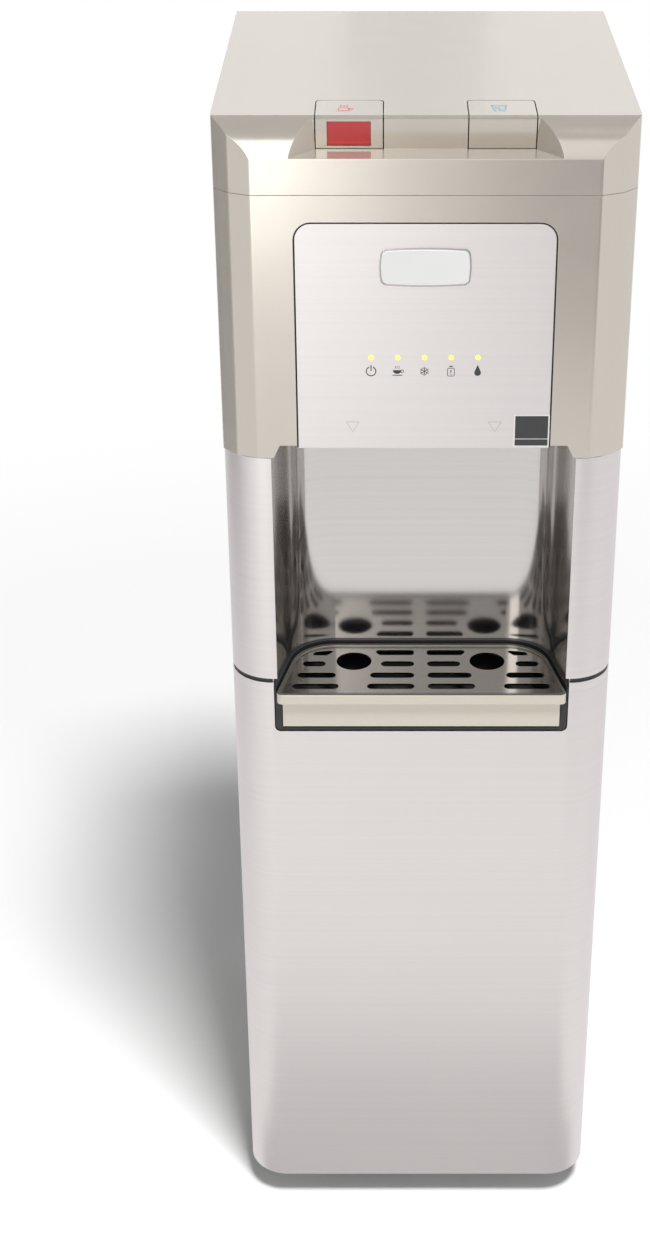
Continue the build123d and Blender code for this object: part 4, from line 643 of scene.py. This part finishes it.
def draw_pointer():
    disc(0, 0, 6.0, 3)
    bpy.ops.transform.rotate(value=math.pi, orient_axis="Z", center_override=(0, 0, 0))
    bpy.ops.mesh.inset(thickness=0.45)
    bpy.ops.mesh.delete(type="FACE")


def draw_label_ground():
    plate(0, 0, LABEL_WIDTH, LABEL_HEIGHT, 0.6)


def draw_label_field():
    """A plain dark field with a pale line across its foot."""
    plate(0, 2.9, LABEL_FIELD, 18.6, 0)
    plate(0, -9.6, LABEL_FIELD, 5.2, 0)


def draw_hot_cup():
    frame_plate(0, -3.0, 8.4, 7.0, 2.0, 0.7)
    ring(5.2, -2.6, 2.0, 0.7, 24)
    stroke_line(-5.6, -8.0, 5.6, -8.0, 0.8)
    for x in (-2.4, 0.0, 2.4):
        stroke_line(x - 0.7, 2.4, x + 0.5, 5.0, 0.7)
        stroke_line(x + 0.5, 5.0, x - 0.4, 7.6, 0.7)


def draw_cold_glass():
    stroke_line(-5.4, 7.0, 5.4, 7.0, 0.7)
    for side in (-1, 1):
        stroke_line(5.4 * side, 7.0, 3.6 * side, -8.0, 0.7)
    stroke_line(-3.6, -8.0, 3.6, -8.0, 0.7)
    stroke_line(-4.8, 3.4, 4.8, 3.4, 0.6)
    frame_plate(-1.4, -1.0, 3.4, 3.4, 0.5, 0.6)
    frame_plate(1.2, -4.6, 3.0, 3.0, 0.5, 0.6)


def draw_on():
    stroke_line(0, -1.5, 0, 1.5, 0.6)


def draw_off():
    ring(0, 0, 1.8, 0.6, 24)


def add_panel_marks():
    """The row of signs under the lamps, the two pointers over the spouts and the blank label."""
    marks = {
        "power_sign": draw_power,
        "hot_sign": draw_cup,
        "cold_sign": draw_snow,
        "bottle_sign": draw_bottle,
        "water_sign": draw_drop,
    }
    middle = (len(marks) - 1) / 2
    for i, (name, draw) in enumerate(marks.items()):
        place = (LAMP_PITCH * (i - middle), PANEL_FACE, LAMP_ROW - SIGN_DROP)
        printed(name, draw, place, DARK_INK)
    for side, name in ((-1, "left_pointer"), (1, "right_pointer")):
        place = (POINTER_X * side, PANEL_FACE, LAMP_ROW - POINTER_DROP)
        printed(name, draw_pointer, place, PALE_INK)
    height = PANEL_LOW.z + LABEL_RISE
    ground = (LABEL_X, PANEL_FACE, height)
    printed("label_ground", draw_label_ground, ground, WHITE_INK)
    field = (LABEL_X, PANEL_FACE - PRINT_THICK, height)
    printed("label_field", draw_label_field, field, DARK_INK)


def add_button_marks():
    """The red cup on the hot button and the blue glass on the cold one."""
    middle = (HOT_LOW.x + HOT_HIGH.x) / 2
    place = (middle - HOT_SIGN_ASIDE, HOT_HIGH.y - KEY_SIGN_SET_BACK, HOT_HIGH.z)
    printed("hot_button_sign", draw_hot_cup, place, RED_INK, UP, "hot_key")
    middle = (COLD_LOW.x + COLD_HIGH.x) / 2
    place = (middle - COLD_SIGN_ASIDE, COLD_HIGH.y - KEY_SIGN_SET_BACK, COLD_HIGH.z)
    printed("cold_button_sign", draw_cold_glass, place, BLUE_INK, UP, "cold_key")


def add_switch_marks():
    """The on stroke and the off ring on each rear rocker."""
    for name, low, high, body in (
        ("heater", HEATER_LOW, HEATER_HIGH, "heater_switch"),
        ("cooling", COOLING_LOW, COOLING_HIGH, "cooling_switch"),
    ):
        x = (low.x + high.x) / 2
        z = (low.z + high.z) / 2
        upper = (x, BACK_FACE + ON_SIGN_PROUD, z + ON_SIGN_RISE)
        lower = (x, BACK_FACE + OFF_SIGN_PROUD, z - OFF_SIGN_DROP)
        tipped = (REAR[0] + ROCKER_TIP, 0.0, REAR[2])
        printed(f"{name}_on_sign", draw_on, upper, WHITE_INK, REAR, body)
        printed(f"{name}_off_sign", draw_off, lower, WHITE_INK, tipped, body)


# ---- trims and screws ------------------------------------------------------------------------
def add_panel_seam_shade():
    """A black strip of painted shade in the seam round the sides and the top of the control panel, standing
    in for the shade inside the gap.
    """
    half = PANEL_HIGH.x + PANEL_SEAM - SEAM_PLAY
    low = PANEL_LOW.z
    high = PANEL_HIGH.z + PANEL_SEAM - SEAM_PLAY
    piece = begin("plane", "panel_seam_shade", size=1, location=(0, 0, 0))
    bpy.ops.transform.resize(value=(2 * half, high - low, 1))
    choose("VERT", lambda p: p.y > 0)
    bpy.ops.mesh.bevel(offset=SEAM_CORNER, segments=12, affect="VERTICES")
    bpy.ops.mesh.select_all(action="SELECT")
    bpy.ops.mesh.inset(thickness=PANEL_SEAM - 2 * SEAM_PLAY)
    bpy.ops.mesh.delete(type="FACE")
    foot = (low - high) / 2 + 2 * PANEL_SEAM
    choose("FACE", lambda p: p.y < foot)
    bpy.ops.mesh.delete(type="FACE")
    raise_all(-SEAM_SHADE_DEPTH)
    settle(piece, (0, PANEL_FACE + SEAM_SHADE_SET_BACK, (low + high) / 2), FRONT)
    smooth()
    dress(piece, SEAM_SHADE_FINISH)


def add_badge_rim():
    """The chrome line round the blank badge, drawn from the badge's own outline."""
    piece = begin_copy("badge_plate", "badge_rim")
    choose("FACE", lambda p: p.y < BADGE_HIGH.y - MERGE)
    bpy.ops.mesh.delete(type="FACE")
    bpy.ops.mesh.select_all(action="SELECT")
    bpy.ops.mesh.dissolve_limited(angle_limit=math.radians(1))
    bpy.ops.mesh.select_all(action="SELECT")
    size = BADGE_HIGH - BADGE_LOW
    wider = (1 + 2 * BADGE_RIM / size.x, 1, 1 + 2 * BADGE_RIM / size.z)
    bpy.ops.transform.resize(value=wider, center_override=(BADGE_LOW + BADGE_HIGH) / 2)
    bpy.ops.mesh.inset(thickness=BADGE_RIM)
    bpy.ops.mesh.delete(type="FACE")
    bpy.ops.mesh.select_all(action="SELECT")
    bpy.ops.mesh.extrude_region_move(TRANSFORM_OT_translate={"value": (0, -0.9 * BADGE_RIM, 0)})
    bpy.ops.mesh.select_all(action="SELECT")
    bpy.ops.mesh.normals_make_consistent(inside=False)
    bpy.ops.object.mode_set(mode="OBJECT")
    smooth(40)
    dress(piece, CHROME)


def add_yielding_pieces():
    """Copies of the probe's hose and the return springs, put in place of their nodes on each joint's parent
    body.
    """
    for joint in frame["joints"]:
        for soft in joint.get("deforming_nodes", []):
            node = soft["node"]
            piece = begin_copy(node, f"{node}_form")
            bpy.ops.object.mode_set(mode="OBJECT")
            smooth(40)
            dress(piece, FINISHES[SLOTS[node]], joint["parent"])
            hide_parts(node)
            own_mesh(piece)


def model_screw():
    """A pan-head screw standing on its washer face: domed, with a cross recess."""
    middle = (0, 0, SCREW_HEAD_HIGH / 2)
    size = {"vertices": 28, "radius": SCREW_HEAD_R, "depth": SCREW_HEAD_HIGH, "location": middle}
    head = begin("cylinder", "panel_screw", **size)
    choose("FACE", lambda p: p.z > 0.9 * SCREW_HEAD_HIGH / 2)
    for inwards, upwards in SCREW_DOME:
        bpy.ops.mesh.inset(thickness=inwards)
        bpy.ops.transform.translate(value=(0, 0, upwards))
    settle(head)
    top = SCREW_HEAD_HIGH + sum(upwards for _, upwards in SCREW_DOME)
    cutter = begin("cube", "cross_cutter", size=1)
    bpy.ops.transform.resize(value=(CROSS_LONG, CROSS_WIDE, CROSS_DEEP), center_override=(0, 0, 0))
    bpy.ops.mesh.primitive_cube_add(size=1)
    bpy.ops.transform.resize(value=(CROSS_WIDE, CROSS_LONG, CROSS_DEEP), center_override=(0, 0, 0))
    settle(cutter, (0, 0, top))
    deselect_all()
    head.select_set(True)
    bpy.context.view_layer.objects.active = head
    cut = head.modifiers.new("cross_recess", "BOOLEAN")
    cut.operation = "DIFFERENCE"
    cut.object = cutter
    cut.solver = "EXACT"
    cut.use_self = True
    bpy.ops.object.modifier_apply(modifier=cut.name)
    bpy.data.objects.remove(cutter)
    return head


def add_rear_screws():
    """The screws through the side panels' rear lips, the cover's rear edge and the bracket feet."""
    first = model_screw()
    first.rotation_euler = REAR
    deselect_all()
    first.select_set(True)
    bpy.context.view_layer.objects.active = first
    bpy.ops.object.transform_apply(location=True, rotation=True, scale=True)
    sides = (-1, 1)
    places = [(side * LIP_SCREW_X, SIDE_HIGH.y, z) for side in sides for z in LIP_SCREW_HEIGHTS]
    places += [(x, COVER_HIGH.y, COVER_LOW.z + COVER_SCREW_RISE) for x in COVER_SCREW_X]
    foot = BACK_FACE + BRACKET_SHEET
    feet = [BRACKET_LOW.z + BRACKET_FOOT_RISE, BRACKET_UPPER + BRACKET_FOOT_RISE]
    places += [(side * BRACKET_FOOT_X, foot, z) for side in sides for z in feet]
    for i, place in enumerate(places, 1):
        twin = copy_at(first, f"rear_screw_{i:02d}", place)
        smooth(25)
        dress(twin, SCREW_ZINC)
    bpy.data.objects.remove(first)


# ---- stage -----------------------------------------------------------------------------------
CAMERA_LENS = 61.9
CAMERA_SENSOR = 36.0
CAMERA_PITCH = math.radians(28.95)
CAMERA_PLACE = (-0.0280, -1.6687, 1.4433)
CAMERA_SHIFT = -0.0499
FLOOR_SIZE = 14.0
WHITE_FROM, WHITE_TO = 0.7, 1.7
SHADOW_LIFT = 0.05
WORLD_LIGHT = 0.23
GLOW_FULL_FROM = -0.3


def add_camera():
    data = bpy.data.cameras.new("camera")
    data.lens = CAMERA_LENS
    data.sensor_width = CAMERA_SENSOR
    data.sensor_fit = "AUTO"
    data.shift_x = CAMERA_SHIFT
    camera = bpy.data.objects.new("camera", data)
    bpy.context.scene.collection.objects.link(camera)
    camera.location = CAMERA_PLACE
    camera.rotation_euler = (math.pi / 2 - CAMERA_PITCH, 0.0, 0.0)
    bpy.context.scene.camera = camera


def add_lamp(name, place, aim, size, power):
    """A soft lamp that casts light and shadow, and isn't mirrored."""
    data = bpy.data.lights.new(name, "AREA")
    data.shape = "RECTANGLE"
    data.size, data.size_y = size
    data.energy = power
    lamp = bpy.data.objects.new(name, data)
    bpy.context.scene.collection.objects.link(lamp)
    lamp.location = place
    lamp.rotation_euler = (Vector(aim) - Vector(place)).to_track_quat("-Z", "Y").to_euler()
    lamp.visible_glossy = False


def seen_directly(tree):
    """1 on camera, glossy and transmission rays, else 0."""
    path = tree.nodes.new("ShaderNodeLightPath")
    seen = path.outputs["Is Camera Ray"]
    for ray in ("Is Glossy Ray", "Is Transmission Ray"):
        either = tree.nodes.new("ShaderNodeMath")
        either.operation = "MAXIMUM"
        tree.links.new(seen, either.inputs[0])
        tree.links.new(path.outputs[ray], either.inputs[1])
        seen = either.outputs["Value"]
    return seen


def add_floor():
    """A plain pale floor: it keeps the shadow round the object and is white farther out."""
    deselect_all()
    bpy.ops.mesh.primitive_plane_add(size=FLOOR_SIZE)
    floor = bpy.context.object
    floor.name = "studio_floor"
    f = Finish("studio_floor", (0.95, 0.95, 0.95), roughness=1.0)
    far = f.node("ShaderNodeVectorMath", operation="LENGTH")
    f.link(f.place, far.inputs[0])
    white = f.eased(far.outputs["Value"], SHADOW_LIFT, 1.0, WHITE_FROM, WHITE_TO)
    share = f.node("ShaderNodeMath", operation="MULTIPLY")
    f.link(seen_directly(f.tree), share.inputs[0])
    f.link(white, share.inputs[1])
    glow = f.node("ShaderNodeEmission")
    mix = f.node("ShaderNodeMixShader")
    f.link(share.outputs["Value"], mix.inputs["Fac"])
    f.link(f.shader.outputs["BSDF"], mix.inputs[1])
    f.link(glow.outputs["Emission"], mix.inputs[2])
    f.link(mix.outputs["Shader"], f.tree.nodes["Material Output"].inputs["Surface"])
    floor.data.materials.append(f.mat)


def set_world():
    """Soft light from all round, and plain white where it is seen or mirrored."""
    world = bpy.data.worlds.new("studio")
    bpy.context.scene.world = world
    world.use_nodes = True
    tree = world.node_tree
    light = tree.nodes["Background"]
    light.inputs["Color"].default_value = (1.0, 1.0, 1.0, 1.0)
    light.inputs["Strength"].default_value = WORLD_LIGHT
    white = tree.nodes.new("ShaderNodeBackground")
    mix = tree.nodes.new("ShaderNodeMixShader")
    tree.links.new(seen_directly(tree), mix.inputs["Fac"])
    tree.links.new(light.outputs["Background"], mix.inputs[1])
    tree.links.new(white.outputs["Background"], mix.inputs[2])
    tree.links.new(mix.outputs["Shader"], tree.nodes["World Output"].inputs["Surface"])
    white.inputs["Color"].default_value = (1.0, 1.0, 1.0, 1.0)
    white.inputs["Strength"].default_value = 1.0


def add_reflection_card(name, place, aim, size, grey):
    """A grey card that nothing shows but the mirroring of glossy surfaces."""
    deselect_all()
    bpy.ops.mesh.primitive_plane_add(size=1.0)
    card = bpy.context.object
    card.name = name
    card.scale = (size[0], size[1], 1.0)
    card.location = place
    card.rotation_euler = (Vector(aim) - Vector(place)).to_track_quat("Z", "Y").to_euler()
    f = Finish(name, (grey, grey, grey), roughness=1.0)
    card.data.materials.append(f.mat)
    card.visible_camera = False
    card.visible_diffuse = False
    card.visible_shadow = False
    card.visible_transmission = False
    return f


def add_glow_card(name, place, aim, size, strength):
    """A bright card of the same kind, which fades to plain white at its right-hand edge."""
    f = add_reflection_card(name, place, aim, size, 0.0)
    split = f.node("ShaderNodeSeparateXYZ")
    f.link(f.place, split.inputs["Vector"])
    fade = f.eased(split.outputs["X"], 1.0, strength, -0.5, GLOW_FULL_FROM)
    f.link(fade, f.shader.inputs["Emission Strength"])
    f.shader.inputs["Emission Color"].default_value = (1.0, 1.0, 1.0, 1.0)


def set_stage():
    add_camera()
    add_floor()
    set_world()
    add_lamp("key_softbox", (1.0, -2.6, 7.1), (0, 0, 0.5), (1.4, 1.4), 550.0)
    add_glow_card("left_glow", (-0.55, -2.15, 1.65), (-0.55, 0, 1.65), (1.0, 2.8), 3.4)
    add_reflection_card("top_card", (0, -0.6, 3.0), (0, -0.6, 0), (4.0, 2.8), 0.50)
    add_reflection_card("rear_card", (0.02, 2.0, 1.55), (0, 0, 1.3), (0.24, 1.6), 0.80)
    add_reflection_card("left_card", (-1.6, 0.1, 0.7), (0, 0, 0.7), (2.2, 1.8), 0.50)
    add_reflection_card("right_card", (0.75, -2.2, 0.4), (0, 0, 0.6), (1.3, 1.2), 0.46)
    # painted shadow: a grey card on the floor in front, seen only in reflections, darkens the lower door as
    # a shadowed floor would
    add_reflection_card("front_floor_painted_shadow", (0, -0.29, 0.002), (0, -0.29, 1.0), (0.46, 0.24), 0.58)
    bpy.context.scene.view_settings.view_transform = "Standard"


dress_cad()
add_panel_seam_shade()
add_badge_rim()
add_yielding_pieces()
add_panel_marks()
add_button_marks()
add_switch_marks()
add_rear_screws()
set_stage()
